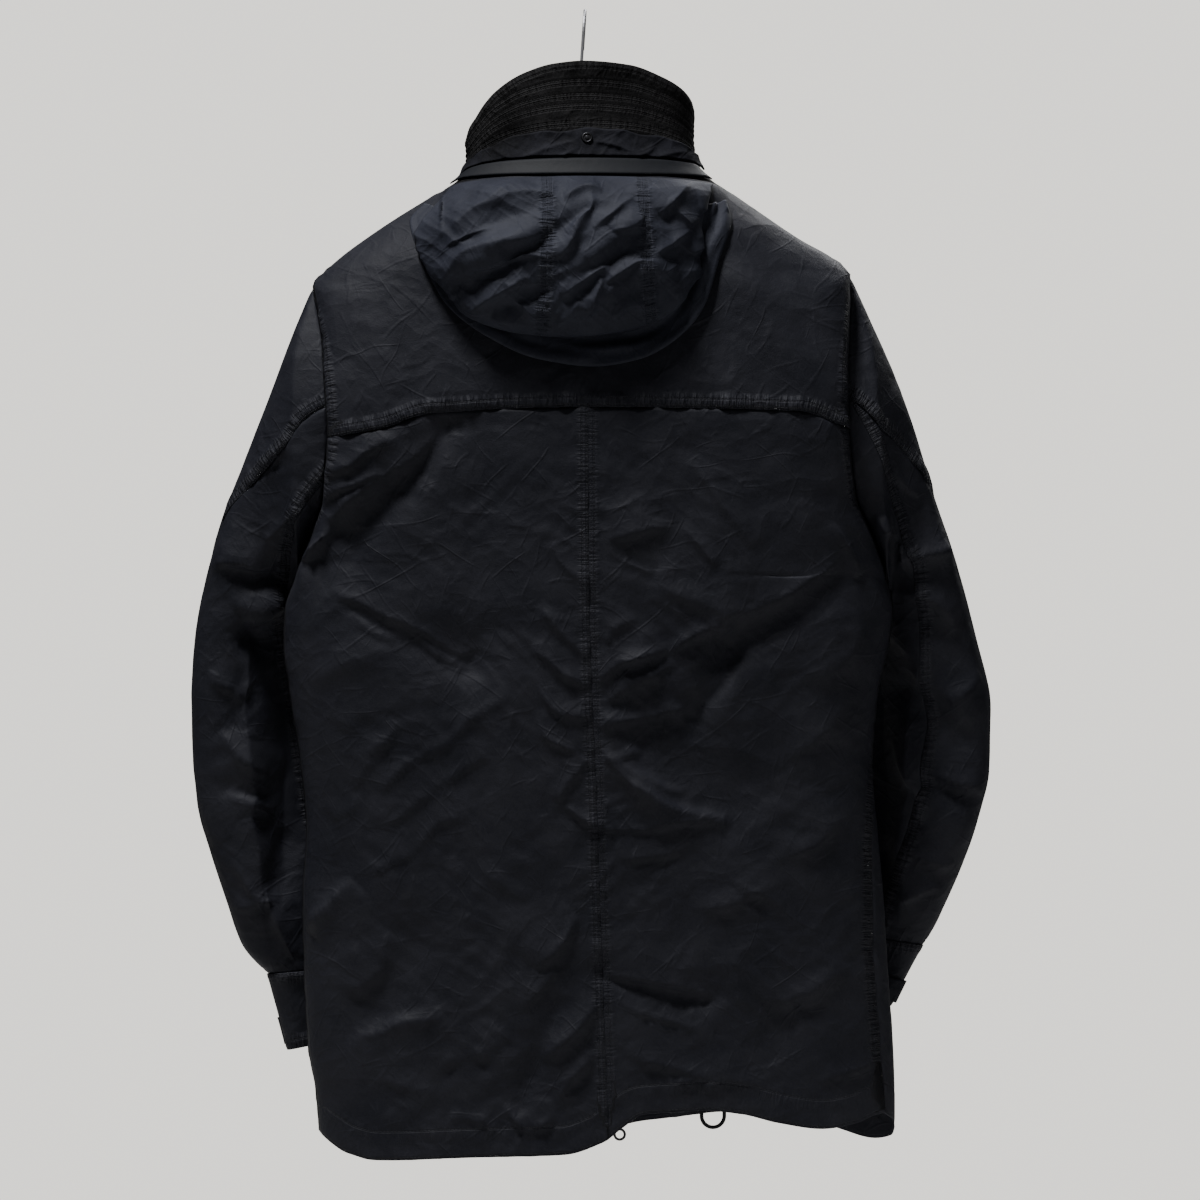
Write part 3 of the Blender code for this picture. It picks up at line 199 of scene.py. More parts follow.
# Sleeve rings: the outer line and the inner (underarm) line, then half the thickness to each side
RING_COLUMNS = "outer_x outer_y outer_drop inner_x inner_y inner_drop to_back to_front"
LEFT_SLEEVE = table(
    RING_COLUMNS,
    (-226, 5, 227, -238, 5, 455, 48, 48),
    (-243, 5, 268, -238, 12, 468, 45, 49),
    (-262, 6, 318, -239, 26, 482, 39, 50),
    (-282, 8, 370, -237, 40, 497, 34, 50),
    (-301, 11, 422, -235, 56, 520, 30, 48),
    (-314, 14, 474, -225, 69, 548, 28, 45),
    (-323, 17, 524, -214, 78, 581, 28, 42),
    (-326, 19, 574, -205, 84, 615, 29, 38),
    (-325, 21, 622, -199, 87, 647, 29, 35),
    (-321, 23, 662, -194, 88, 676, 29, 33),
    (-311, 25, 698, -190, 88, 704, 29, 32),
    (-298, 27, 738, -186, 86, 736, 27, 30),
    (-284, 28, 777, -181, 84, 768, 25, 27),
    (-264, 30, 800, -174, 82, 793, 21, 23),
)
RIGHT_SLEEVE = table(
    RING_COLUMNS,
    (220, 5, 218, 251, 5, 470, 48, 48),
    (238, 5, 258, 252, 15, 484, 45, 49),
    (256, 6, 298, 251, 28, 498, 39, 50),
    (274, 8, 347, 249, 43, 516, 34, 49),
    (290, 11, 402, 248, 57, 539, 31, 47),
    (307, 14, 455, 240, 68, 564, 30, 44),
    (323, 17, 518, 231, 77, 594, 29, 41),
    (336, 19, 580, 221, 83, 626, 29, 37),
    (335, 21, 630, 213, 87, 656, 29, 35),
    (325, 22, 673, 208, 88, 684, 29, 33),
    (311, 24, 712, 203, 88, 711, 29, 32),
    (297, 26, 744, 197, 86, 734, 27, 30),
    (290, 28, 760, 192, 84, 748, 25, 27),
    (281, 30, 776, 187, 82, 762, 21, 23),
)
LEFT_CUFF = table(
    RING_COLUMNS,
    (-264, 30, 800, -174, 82, 793, 21, 23),
    (-256, 33, 832, -169, 82, 820, 18, 20),
    (-248, 36, 864, -163, 82, 847, 17, 18),
)
RIGHT_CUFF = table(
    RING_COLUMNS,
    (281, 30, 776, 187, 82, 762, 21, 23),
    (268, 33, 801, 180, 82, 783, 18, 20),
    (255, 36, 827, 172, 82, 805, 17, 18),
)
# Where the cap's seam crosses each of the first rings, in degrees from the outer line
LEFT_CAP = table("ring degrees", (0, 84), (1, 80), (2, 66), (3, 42), (4, 0))
RIGHT_CAP = table("ring degrees", (0, 84), (1, 76), (2, 62), (3, 42), (4, 0))
LEFT_SLEEVE_FOLDS = table(
    FOLD_COLUMNS,
    (-312, 456, -250, 455, 13, 7),
    (-300, 492, -262, 482, 14, -4),
    (-251, 490, -284, 515, 14, 7),
    (-284, 515, -300, 590, 14, 6),
    (-318, 642, -280, 650, 11, 4),
    (-262, 690, -276, 740, 12, 4),
)
RIGHT_SLEEVE_FOLDS = table(
    FOLD_COLUMNS,
    (238, 425, 262, 470, 17, 4),
    (268, 506, 322, 570, 15, -5),
    (276, 560, 320, 600, 15, 6),
    (300, 642, 328, 654, 11, 5),
    (262, 700, 250, 752, 12, 4),
)

COLLAR_STEPS = np.array([0, 0.09, 0.19, 0.39, 0.69, 1])  # its rows, from the foot upwards
COLLAR_TOP = table(
    "angle drop",
    (-180, 132),
    (-135, 124),
    (-90, 107),
    (-69, 92),
    (-47, 68),
    (-28, 53),
    (-12, 46),
    (2, 44),
    (25, 47),
    (45, 56),
    (62, 65),
    (84, 80),
    (110, 104),
    (140, 123),
    (180, 132),
)
COLLAR_TOP_X, COLLAR_TOP_HALF, COLLAR_TOP_BACK, COLLAR_TOP_FRONT = -4.0, 95.0, 47.0, 52.0
COLLAR_FLARE = 5.0  # how sharply the collar flares at its foot

# Strips that lie on the collar: from and to round it, and from its foot upwards as a share
STRIPS = {
    "neck_tape": {"round": (-74.0, 66.0), "up": (0.03, 0.18), "wall": 1.4},
    "collar_flap": {"round": (-84.0, 78.0), "up": (0.2, 0.38), "wall": 1.6},
}
# How much lower the strips hang at the middle of the back, as a share of the collar, and how wide
STRIP_SAG, STRIP_SAG_HALF = 0.045, 62.0
STRIP_STAND = 0.9  # how far their outside stands off, past their wall
SNAP_RADIUS, SNAP_HEIGHT, SNAP_ANGLE, SNAP_SHARE = 5.0, 2.2, 3.0, 0.315

HOOD_ROWS, HOOD_WALL = 12, 1.5
HOOD_CELLS = (6, 6, 5)
HOOD = table(
    "share left seam_left seam_right right",
    (0, -111, -31, 47, 106),
    (0.3, -141, -30, 49, 97),
    (0.6, -134, -31, 51, 95),
    (1, -106, -36, 55, 78),
)
HOOD_TOP, HOOD_CORNER, HOOD_BOTTOM = 1.8, 246.0, 274.0  # the first is below the neckline
HOOD_BULGE = 34.0
HOOD_FOLDS = table(
    FOLD_COLUMNS,
    (-125, 206, -40, 168, 9, 4),
    (-118, 222, -38, 186, 8, -4),
    (-92, 232, 4, 172, 8, 4),
    (-20, 232, 40, 178, 9, -4),
    (-60, 248, 30, 206, 8, 4),
    (0, 250, 60, 214, 8, -4),
    (66, 178, 80, 230, 8, 4),
)
BRIM_WALL, BRIM_OFF = 2.2, 3.4
BRIM_DROOP = 5.0  # how far its lowest part stands off further
BRIM = table(
    "x drop width",
    (-133, 160, 14),
    (-145, 176, 22),
    (-134, 208, 24),
    (-112, 247, 26),
    (-77, 274, 28),
    (-38, 291, 30),
    (5, 297, 32),
    (45, 291, 32),
    (77, 273, 32),
    (98, 247, 34),
    (110, 209, 36),
    (121, 177, 34),
    (117, 158, 20),
)
BRIM_CENTRE = (-8.0, 195.0)

CHAIN_HALF, CHAIN_WALL = 2.6, 2.0
TOOTH_WIDE, TOOTH_HIGH, TOOTH_PITCH, TOOTH_EASE = 3.4, 1.3, 2.1, 0.3
SLIDER_HALF, SLIDER_HIGH, SLIDER_THICK = 4.6, 12.0, 4.4
LOWER_SLIDER, UPPER_SLIDER = 916.0, 148.0
BAIL_RADIUS, BAIL_WIRE, BAIL_OFF, BAIL_DOWN = 2.3, 0.9, 1.5, 2.0
# A pull: the bar through the bail, the fork's arms and their gap, then the bridge, neck and eye
PULL_BAR, PULL_ARM, PULL_GAP, PULL_FORK, PULL_BRIDGE, PULL_NECK = 1.35, 1.3, 2.2, 6.2, 2.6, 3.4
PULL_EYE_RADIUS, PULL_EYE_WIRE, PULL_LONG = 4.3, 1.1, 19.0

# Cuff tabs: their columns round the cuff and their rings down it, and how far the right one runs on
TAB_AROUND = {"left": (15.2, 16, 17, 18, 18.8), "right": (5, 4, 3, 2, 1.2)}
TAB_RINGS = (1.15, 1.85)
TAB_WALL, TAB_PAST = 1.6, 9.0
CORD_RADIUS = 1.6
CORD_LOOP = {"x": 107.0, "half": 9.5, "top": 886.0, "bottom": 929.5}


# ---------------------------------------------------------------- reading tables


def read(tab, name, at):
    """A column at the wanted places along the table's first column, by a smooth curve."""
    key = tab[next(iter(tab))]
    values = tab[name]
    rise = np.diff(values) / np.diff(key)
    before, after = rise[:-1], rise[1:]
    total = np.where(before * after > 0, before + after, 1.0)
    inner = np.where(before * after > 0, 2 * before * after / total, 0.0)
    slope = np.concatenate([rise[:1], inner, rise[-1:]])
    at = np.clip(at, key[0], key[-1])
    i = np.clip(np.searchsorted(key, at, side="right") - 1, 0, len(key) - 2)
    step = key[i + 1] - key[i]
    t = (at - key[i]) / step
    return (
        (2 * t**3 - 3 * t**2 + 1) * values[i]
        + (t**3 - 2 * t**2 + t) * step * slope[i]
        + (3 * t**2 - 2 * t**3) * values[i + 1]
        + (t**3 - t**2) * step * slope[i + 1]
    )


def by_row(tab):
    """The same table, with the row's number as its first column."""
    rows = len(next(iter(tab.values())))
    return {"row": np.arange(rows, dtype=float), **tab}


def folds_at(folds, x, drop):
    """How far the folds press the cloth in, at points of the photographed plane."""
    total = np.zeros(np.broadcast(x, drop).shape)
    for x0, d0, x1, d1, width, depth in zip(*folds.values(), strict=True):
        run_x, run_d = x1 - x0, d1 - d0
        t = ((x - x0) * run_x + (drop - d0) * run_d) / (run_x**2 + run_d**2)
        t = np.clip(t, 0, 1)
        away = ((x - x0 - t * run_x) ** 2 + (drop - d0 - t * run_d) ** 2) / width**2
        total = total + depth * np.exp(-away)
    return total


# ---------------------------------------------------------------- torso


def half_width(drop):
    left, right = read(TORSO, "left", drop), read(TORSO, "right", drop)
    return (left + right) / 2, (right - left) / 2


def armhole_half(share, drop):
    """Half the armhole's depth front to back at this height, on the nearer side."""
    half = np.zeros(np.broadcast(share, drop).shape)
    for side, (tip, pit) in ARMHOLE.items():
        here = (share < 0) == (side == "left")
        level = np.clip((drop - tip) / (pit - tip), 0, 1)
        half = np.where(here, ARMHOLE_HALF * np.sin(np.pi * level) ** 0.9, half)
    return half


def top_drop(x, face):
    return read(TOP_LINE, face, x)


def depth_at(share, turn, x, drop, face):
    """Distance of the torso from the side plane, towards the back or the front."""
    full_power = BACK_FULL if face == "back" else FRONT_FULL
    neck_depth = NECK_BACK if face == "back" else NECK_FRONT
    opening = armhole_half(share, drop)
    full = opening + (read(TORSO, face, drop) - opening) * np.abs(np.cos(turn)) ** full_power
    over_neck = np.sqrt(np.clip(1 - (x / NECK_HALF) ** 2, 0, 1)) * neck_depth
    reach = TOP_ROUND * (1 - np.abs(share) ** 6) + 0.5
    s = np.clip((drop - top_drop(x, face)) / reach, 0, 1)
    return over_neck + (full - over_neck) * np.sqrt(1 - (1 - s) ** 2)


def torso_drop(share, row, face):
    """The height of a grid row at this share of the half width."""
    centre, half = half_width(np.full(np.shape(share), 150.0))
    shift = (read(CENTRE, "back", 150.0) - centre) / half
    x_top = centre + half * (share + shift * (1 - np.abs(share)))
    pits = ARMHOLE["left"][1], ARMHOLE["right"][1]
    lines = (
        top_drop(x_top, face),
        read(YOKE_SEAM, "drop", share),
        pits[0] + (pits[1] - pits[0]) * (share + 1) / 2,
        read(HEM, face, share),
    )
    chest, skirt = YOKE_ROWS, YOKE_ROWS + CHEST_ROWS
    parts = (
        np.interp(row, range(chest + 1), YOKE_STEPS),
        np.interp(row - chest, range(CHEST_ROWS + 1), CHEST_STEPS),
        np.clip((row - skirt) / SKIRT_ROWS, 0, 1),
    )
    drop = lines[0]
    for upper, lower, part in zip(lines[:-1], lines[1:], parts, strict=True):
        drop = drop + (lower - upper) * part
    return drop


def torso_point(share, row, face):
    """(x, y, drop) of the torso. share runs from -1, the left side seam, to 1, the right one."""
    share, row = np.broadcast_arrays(np.asarray(share, float), np.asarray(row, float))
    drop = torso_drop(share, row, face)
    centre, half = half_width(drop)
    shift = (read(CENTRE, face, drop) - centre) / half
    bent = np.arcsin(np.clip(share + shift * (1 - np.abs(share)), -1, 1))
    seam = np.radians(read(RIGHT_SEAM, "degrees", drop))
    reach = np.where(share > 0, seam if face == "back" else np.pi - seam, np.pi / 2)
    turn = bent / (np.pi / 2) * reach
    x = centre + half * np.sin(turn)
    on_back = (face == "back") | (np.abs(turn) > np.pi / 2)
    back = depth_at(share, turn, x, drop, "back")
    front = depth_at(share, turn, x, drop, "front")
    y = np.where(on_back, SIDE_Y - back, SIDE_Y + front)
    calm = (1 - np.abs(share) ** 10) * np.clip(row / 2, 0, 1)
    pressed = folds_at(BACK_FOLDS if face == "back" else FRONT_FOLDS, x, drop) * calm
    y = y + np.where(on_back, pressed, -pressed)
    return np.stack([x, y, drop], axis=-1)


def face_y(x, drop, face):
    """The y of the torso's outside at a place in the photographed plane."""
    centre, half = half_width(drop)
    share = np.clip((x - centre) / half, -1, 1)
    calm = (1 - np.abs(share) ** 10) * np.clip((drop - top_drop(x, face)) / 20, 0, 1)
    depth = depth_at(share, np.arcsin(share), x, drop, face)
    pressed = folds_at(BACK_FOLDS if face == "back" else FRONT_FOLDS, x, drop) * calm
    return SIDE_Y - depth + pressed if face == "back" else SIDE_Y + depth - pressed


def lifted_y(x, drop, face, lift):
    """face_y moved square off the surface by a lift, which is negative on its inside."""
    slope_x = (face_y(x + 1, drop, face) - face_y(x - 1, drop, face)) / 2
    slope_drop = (face_y(x, drop + 1, face) - face_y(x, drop - 1, face)) / 2
    steep = np.minimum(np.sqrt(1 + slope_x**2 + slope_drop**2), 3)
    return face_y(x, drop, face) + (-1 if face == "back" else 1) * lift * steep


def torso_shares(face):
    """The shares of the grid's columns. The front has two narrow ones for the zip tapes."""
    middle = [0.0] if face == "back" else [-ZIP_HALF / 236, 0.0, ZIP_HALF / 236]
    cells = NECK_CELLS if face == "back" else NECK_CELLS - 1
    outer = np.linspace(-1, -NECK_SHARE, SHOULDER_CELLS + 1)
    inner = np.linspace(-NECK_SHARE, middle[0], cells + 1)[1:]
    left = np.concatenate([outer, inner])
    rest = [-s for s in left[: -1 if face == "back" else None][::-1]]
    return np.concatenate([left, [] if face == "back" else [0.0], rest])


# ---------------------------------------------------------------- sleeves


def armhole_point(side, around):
    """The body's armhole edge: 0 is the shoulder tip, 10 the armpit, on by the back."""
    share = -1.0 if side == "left" else 1.0
    half = SLEEVE_AROUND / 2
    row = np.where(around <= half, around, SLEEVE_AROUND - around)
    on_back = (around <= half)[..., None]
    return np.where(on_back, torso_point(share, row, "back"), torso_point(share, row, "front"))


def ring_turn(side, ring, around):
    """The angle round a ring for a grid column, so that the cap's seam follows the grid."""
    half = SLEEVE_AROUND / 2
    near = np.where(around <= half, around, SLEEVE_AROUND - around)
    seam_column = np.clip(CAP_RINGS - ring, 0, CAP_RINGS)
    cap = LEFT_CAP if side == "left" else RIGHT_CAP
    seam = np.radians(read(cap, "degrees", ring))
    inside = near <= seam_column
    low = seam * near / np.maximum(seam_column, 1e-9)
    high = seam + (np.pi - seam) * (near - seam_column) / (half - seam_column)
    turn = np.where(inside, low, high)
    return np.where(around <= half, turn, 2 * np.pi - turn)


def tube_point(rings, ring, turn, folds):
    """(x, y, drop) on a tube given by its outer and inner lines."""
    rows = by_row(rings)

    def line(name, at):
        columns = (f"{name}_x", f"{name}_y", f"{name}_drop")
        return np.stack([read(rows, c, at) for c in columns], axis=-1)

    outer, inner = line("outer", ring), line("inner", ring)
    major = (outer - inner) / 2
    lean = major / np.linalg.norm(major, axis=-1, keepdims=True)
    normal = np.array([0, -1, 0]) + lean[..., 1:2] * lean
    normal /= np.linalg.norm(normal, axis=-1, keepdims=True)
    sine, cosine = np.sin(turn), np.cos(turn)
    thick = np.where(sine > 0, read(rows, "to_back", ring), read(rows, "to_front", ring))
    point = (outer + inner) / 2 + major * cosine[..., None]
    swell = np.sign(sine) * np.abs(sine) ** 0.9 * thick
    pressed = folds_at(folds, point[..., 0], point[..., 2]) * np.abs(sine) ** 0.7
    swell = swell - np.sign(sine) * pressed * np.where(sine > 0, 1, 0.7)
    return point + normal * swell[..., None]


def sleeve_point(side, ring, around):
    """(x, y, drop) of a sleeve: ring 0 is the armhole, and the first ring blends away from it."""
    ring, around = np.broadcast_arrays(np.asarray(ring, float), np.asarray(around, float))
    rings = LEFT_SLEEVE if side == "left" else RIGHT_SLEEVE
    folds = LEFT_SLEEVE_FOLDS if side == "left" else RIGHT_SLEEVE_FOLDS
    point = tube_point(rings, ring, ring_turn(side, ring, around), folds)
    first = tube_point(rings, np.zeros_like(ring), ring_turn(side, np.zeros_like(ring), around), folds)
    fade = np.clip(1 - ring, 0, 1)[..., None] ** 1.5
    return point + (armhole_point(side, around) - first) * fade


def cuff_point(side, ring, around):
    rings = LEFT_CUFF if side == "left" else RIGHT_CUFF
    ring, around = np.broadcast_arrays(np.asarray(ring, float), np.asarray(around, float))
    none = {name: np.zeros(0) for name in FOLD_COLUMNS.split()}
    return tube_point(rings, ring, around / SLEEVE_AROUND * 2 * np.pi, none)


# ---------------------------------------------------------------- collar, hood and trim


def neck_angle(x, face):
    """The angle round the neck, 0 at the middle of the back and 180 at the zip."""
    turn = np.degrees(np.arcsin(np.clip(x / NECK_HALF, -1, 1)))
    return turn if face == "back" else np.where(turn < 0, -180 - turn, 180 - turn)


def neck_point(angle):
    turn = np.radians(angle)
    x = NECK_HALF * np.sin(turn)
    on_back = np.cos(turn) >= 0
    y = SIDE_Y - np.cos(turn) * np.where(on_back, NECK_BACK, NECK_FRONT)
    return np.stack([x, y, np.where(on_back, top_drop(x, "back"), top_drop(x, "front"))], axis=-1)


def collar_point(angle, share):
    """(x, y, drop) of the collar: share 0 is its foot, on the neckline, and 1 its top edge."""
    angle, share = np.broadcast_arrays(np.asarray(angle, float), np.asarray(share, float))
    turn = np.radians(angle)
    foot = neck_point(angle)
    depth = np.where(np.cos(turn) >= 0, COLLAR_TOP_BACK, COLLAR_TOP_FRONT)
    top = np.stack(
        [
            COLLAR_TOP_X + COLLAR_TOP_HALF * np.sin(turn),
            SIDE_Y - np.cos(turn) * depth,
            read(COLLAR_TOP, "drop", angle),
        ],
        axis=-1,
    )
    bend = (1 - (1 - share) ** COLLAR_FLARE)[..., None]
    flat = foot + (top - foot) * bend
    rise = foot[..., 2] + (top[..., 2] - foot[..., 2]) * share
    return np.concatenate([flat[..., :2], rise[..., None]], axis=-1)


def moved_out(surface, u, v, lift, steps=(1.0, 0.02), inside=(0.0, SIDE_Y)):
    """Points of a surface moved square off it, away from an upright axis inside it."""
    across = surface(u + steps[0], v) - surface(u - steps[0], v)
    along = surface(u, v + steps[1]) - surface(u, v - steps[1])
    normal = np.cross(across, along)
    normal /= np.linalg.norm(normal, axis=-1, keepdims=True)
    point = surface(u, v)
    away = point[..., :2] - np.array(inside)
    facing = np.sum(normal[..., :2] * away, axis=-1, keepdims=True)
    return point + normal * np.where(facing < 0, -lift, lift)


def hood_point(across, share):
    """(x, y, drop) of the hood. across runs from 0 to 3, through its three panels."""
    across, share = np.broadcast_arrays(np.asarray(across, float), np.asarray(share, float))
    edges = [read(HOOD, name, share) for name in ("left", "seam_left", "seam_right", "right")]
    x = edges[0]
    for panel in range(3):
        x = x + (edges[panel + 1] - edges[panel]) * np.clip(across - panel, 0, 1)
    middle, half = (edges[0] + edges[3]) / 2, (edges[3] - edges[0]) / 2
    u = np.clip((x - middle) / half, -1, 1)
    low = HOOD_CORNER + (HOOD_BOTTOM - HOOD_CORNER) * (1 - u**2) ** 0.6
    top = top_drop(x, "back") + HOOD_TOP
    drop = top + (low - top) * share
    seat = HOOD_WALL + CLEAR + (BRIM_OFF + CLEAR) * np.clip(share / 0.12, 0, 1)
    bulge = (1 - np.abs(u) ** 2.6) ** 0.6 * np.sin(np.pi * share**0.75).clip(0, 1) ** 0.5
    pressed = folds_at(HOOD_FOLDS, x, drop) * np.clip(bulge * 1.6, 0, 1)
    y = lifted_y(x, drop, "back", seat) - HOOD_BULGE * bulge + pressed
    return np.stack([x, y, drop], axis=-1)


def brim_point(along, share):
    """(x, y, drop) of the brim band: along runs through the table, share from its edge inwards."""
    along, share = np.broadcast_arrays(np.asarray(along, float), np.asarray(share, float))
    rows = by_row(BRIM)
    x, drop, width = (read(rows, name, along) for name in ("x", "drop", "width"))
    to_x, to_drop = BRIM_CENTRE[0] - x, BRIM_CENTRE[1] - drop
    length = np.hypot(to_x, to_drop)
    x = x + to_x / length * width * share
    drop = drop + to_drop / length * width * share
    return np.stack([x, lifted_y(x, drop, "back", BRIM_OFF), drop], axis=-1)


def to_world(points):
    """(x, y, drop) in millimetres to metres with +Z up."""
    return np.asarray(points, float) * (MM, MM, -MM)


def vertex_normals(points, triangles):
    a, b, c = (points[triangles[:, k]] for k in range(3))
    face = np.cross(b - a, c - a)
    total = np.zeros_like(points)
    for corner, (p, q, r) in enumerate(((a, b, c), (b, c, a), (c, a, b))):
        u, v = q - p, r - p
        cosine = np.sum(u * v, axis=1) / (np.linalg.norm(u, axis=1) * np.linalg.norm(v, axis=1))
        weight = np.arccos(np.clip(cosine, -1, 1)) / np.linalg.norm(face, axis=1)
        np.add.at(total, triangles[:, corner], face * weight[:, None])
    return total / np.maximum(np.linalg.norm(total, axis=1, keepdims=True), 1e-12)


def grid_triangles(ids, other_way=False):
    """Two triangles for each cell of a grid of vertex numbers, split along either diagonal."""
    a, b, c, d = ids[:-1, :-1], ids[1:, :-1], ids[1:, 1:], ids[:-1, 1:]
    one = np.stack([a, b, c, a, c, d], axis=-1)
    other = np.stack([a, b, d, b, c, d], axis=-1)
    return np.where(other_way, other, one).reshape(*a.shape, 2, 3)


def arc(middle, radius, start, stop, steps):
    """Points of a circle in a plane, as (across, drop), from start to stop in degrees."""
    turn = np.radians(np.linspace(start, stop, steps))
    return [(middle[0] + radius * np.cos(t), middle[1] - radius * np.sin(t)) for t in turn]


def zip_line():
    """Points down the middle of the zip, from the collar's top to the hem."""
    up = COLLAR_STEPS[::-1]
    down = np.arange(1.0, YOKE_ROWS + CHEST_ROWS + SKIRT_ROWS + 1)
    foot = torso_point(0.0, 0.0, "front")
    collar = collar_point(neck_angle(foot[0], "front"), up)
    return np.concatenate([collar, torso_point(0.0, down, "front")])


def on_zip(drop):
    line = zip_line()
    return np.array([np.interp(drop, line[:, 2], line[:, k]) for k in range(3)])


# ---------------------------------------------------------------- finer form of the cloth


FINE = 12  # steps for each row and ring of the frame's grid
ACROSS = 7  # steps for each of its columns across the torso
COLLAR_FINE, HOOD_FINE, HOOD_DOWN = 10, 11, 12
WRINKLE_SEED, HOOD_SEED, BRIM_SEED, STRIP_SEED, TAB_SEED, SEAM_SEED = 11, 40, 70, 90, 95, 100

COLLAR_STITCHING = (0.8, 0.68, 0.59, 0.45)  # rows of stitches, as shares of the collar's height
# A stitched edge: its two rows lie this far from the seam and from the band's far side
NEAR_ROW, FAR_ROW = 1.8, 1.6
GROOVE_HALF, GROOVE_DEEP = 0.9, 0.3
STITCH_LENGTH = 3.2
GATHER_BAND = 9.0  # the gathers fill no more than this of a wide band
EASING = 30  # passes that smooth the kink across the back at the height of the armpits
NO_SEAM = (0.0, 99.0, 9.0)  # the seam place of cloth that is far from every seam
# How much the drapes below are lifted on each face, and how far lower they lie on the sleeves' fronts
BACK_LIFT, FRONT_LIFT, SLEEVE_LIFT, SLEEVE_FRONT_LIFT, SLEEVE_SHIFT = 1.5, 1.3, 1.7, 0.8, 16.0
WRINKLE_HEIGHT = 0.5
HOOD_LIFT, HOOD_WRINKLE_HEIGHT, HOOD_BAND, HOOD_PUCKER = 1.35, 0.8, 5.0, 1.2

# Drapes that the frame is too coarse for: ridges from (x0, drop0) to (x1, drop1), bent sideways by
# bow. Each slopes gently on one side and steeply on the other, where its width is a share, lee.
DRAPE_COLUMNS = "x0 drop0 x1 drop1 bow width lee height"
BACK_DRAPES = table(
    DRAPE_COLUMNS,
    (-213, 421, -120, 348, 3, 16, 0.35, 5),
    (-215, 385, -156, 354, 0, 10, 0.3, 3),
    (-219, 404, -168, 385, -2, 9, 0.3, 3),
    (-245, 484, -208, 415, 5, 9, 0.4, 5),
    (-228, 462, -206, 424, 0, 5, 0.4, 3),
    (228, 470, 205, 425, 3, 7, 0.4, 4),
    (-215, 477, -93, 534, -4, 22, 0.35, 5),
    (-194, 499, -154, 525, 0, 4, 0.5, 1.2),
    (-143, 513, -97, 543, 2, 6, 0.4, 1.6),
    (84, 372, 139, 444, 0, 14, 0.5, 2.5),
    (16, 436, 69, 426, 2, 11, 0.35, 3),
    (76, 427, 109, 461, 0, 8, 0.4, 2),
    (101, 511, 216, 448, 6, 24, 0.35, 6),
    (67, 529, 126, 511, -3, 8, 0.25, 4),
    (25, 541, 67, 527, 3, 7, 0.3, 3),
    (55, 469, 126, 503, 4, 18, 0.7, 3),
    (120, 668, 15, 612, -15, 14, 0.3, 5),
    (84, 644, 19, 612, -8, 8, 0.4, 2.5),
    (92, 574, 118, 539, 0, 3, 0.6, 1),
    (-42, 524, 5, 558, 3, 9, 0.35, 3),
    (-42, 558, 2, 589, 3, 9, 0.35, 3),
    (-38, 490, 0, 532, 3, 9, 0.4, 2.5),
    (-25, 440, 0, 482, 2, 8, 0.4, 2),
    (-42, 583, -4, 616, 2, 9, 0.4, 2.4),
    (10, 558, 57, 531, -3, 9, 0.35, 3),
    (12, 592, 84, 579, -3, 9, 0.35, 3),
    (15, 524, 44, 506, -2, 7, 0.4, 2),
    (15, 574, 63, 551, -2, 8, 0.4, 2.4),
    (12, 624, 50, 612, 0, 7, 0.4, 2),
    (-25, 651, 1, 616, 0, 7, 0.4, 2.5),
    (-19, 656, 27, 680, 2, 5, 0.3, 3),
    (17, 680, 118, 670, -3, 4, 0.5, 1.6),
    (29, 558, 76, 541, 2, 6, 0.4, 2),
    (-194, 643, -156, 591, 3, 6, 0.4, 1.6),
    (-189, 621, -154, 591, 2, 5, 0.4, 1.4),
    (-173, 644, -124, 612, 2, 5, 0.4, 1.6),
    (-168, 675, -116, 642, 3, 6, 0.4, 1.6),
    (-150, 694, -97, 659, 2, 5, 0.4, 1.5),
    (-211, 671, -184, 654, 1, 5, 0.4, 1.2),
    (-135, 616, -84, 583, 2, 7, 0.5, 1.6),
    (-122, 642, -76, 616, 2, 6, 0.4, 1.5),
    (-185, 713, -143, 692, 2, 5, 0.4, 1.4),
    (-101, 591, -59, 570, 1, 6, 0.5, 1.4),
    (-187, 722, -232, 762, 4, 16, 0.35, 5),
    (-114, 832, -189, 853, 8, 14, 0.35, 4.5),
    (-194, 818, -156, 764, 4, 16, 0.5, 3),
    (-42, 790, -4, 743, 4, 13, 0.35, 4.5),
    (-35, 866, 9, 818, 3, 12, 0.35, 4.5),
    (-25, 899, 9, 855, 3, 10, 0.35, 3.5),
    (-59, 823, -25, 793, 2, 8, 0.4, 2),
    (15, 794, 110, 813, -4, 12, 0.28, 4.5),
    (24, 818, 97, 844, 0, 4, 0.5, 1.5),
    (21, 853, 126, 881, 3, 9, 0.45, 2),
    (143, 768, 172, 794, 0, 3, 0.6, 1.2),
    (147, 823, 215, 788, 4, 18, 0.4, 4.5),
    (25, 701, 86, 688, 2, 7, 0.4, 1.8),
    (84, 743, 160, 717, 3, 10, 0.5, 2),
    (126, 717, 168, 743, 0, 4, 0.5, 1.3),
    (-65, 906, -41, 922, 3, 6, 0.35, 2.5),
    (-41, 921, -21, 905, 2, 6, 0.35, 2.2),
    (-110, 911, -76, 919, 1, 7, 0.4, 2),
    (67, 886, 97, 873, 2, 6, 0.4, 2),
    (86, 886, 151, 890, -3, 6, 0.4, 1.6),
    (181, 558, 231, 503, 8, 22, 0.5, 3),
    (168, 616, 223, 558, 6, 16, 0.5, 2.4),
    (151, 701, 210, 667, 4, 14, 0.5, 2.4),
    (-223, 558, -156, 532, -8, 20, 0.6, 2.5),
    (-93, 701, -46, 734, 3, 9, 0.5, 1.8),
    (-118, 869, -59, 848, 3, 10, 0.5, 1.8),
    (-168, 881, -118, 898, 2, 9, 0.5, 1.8),
    (189, 881, 244, 869, 3, 9, 0.4, 1.8),
)
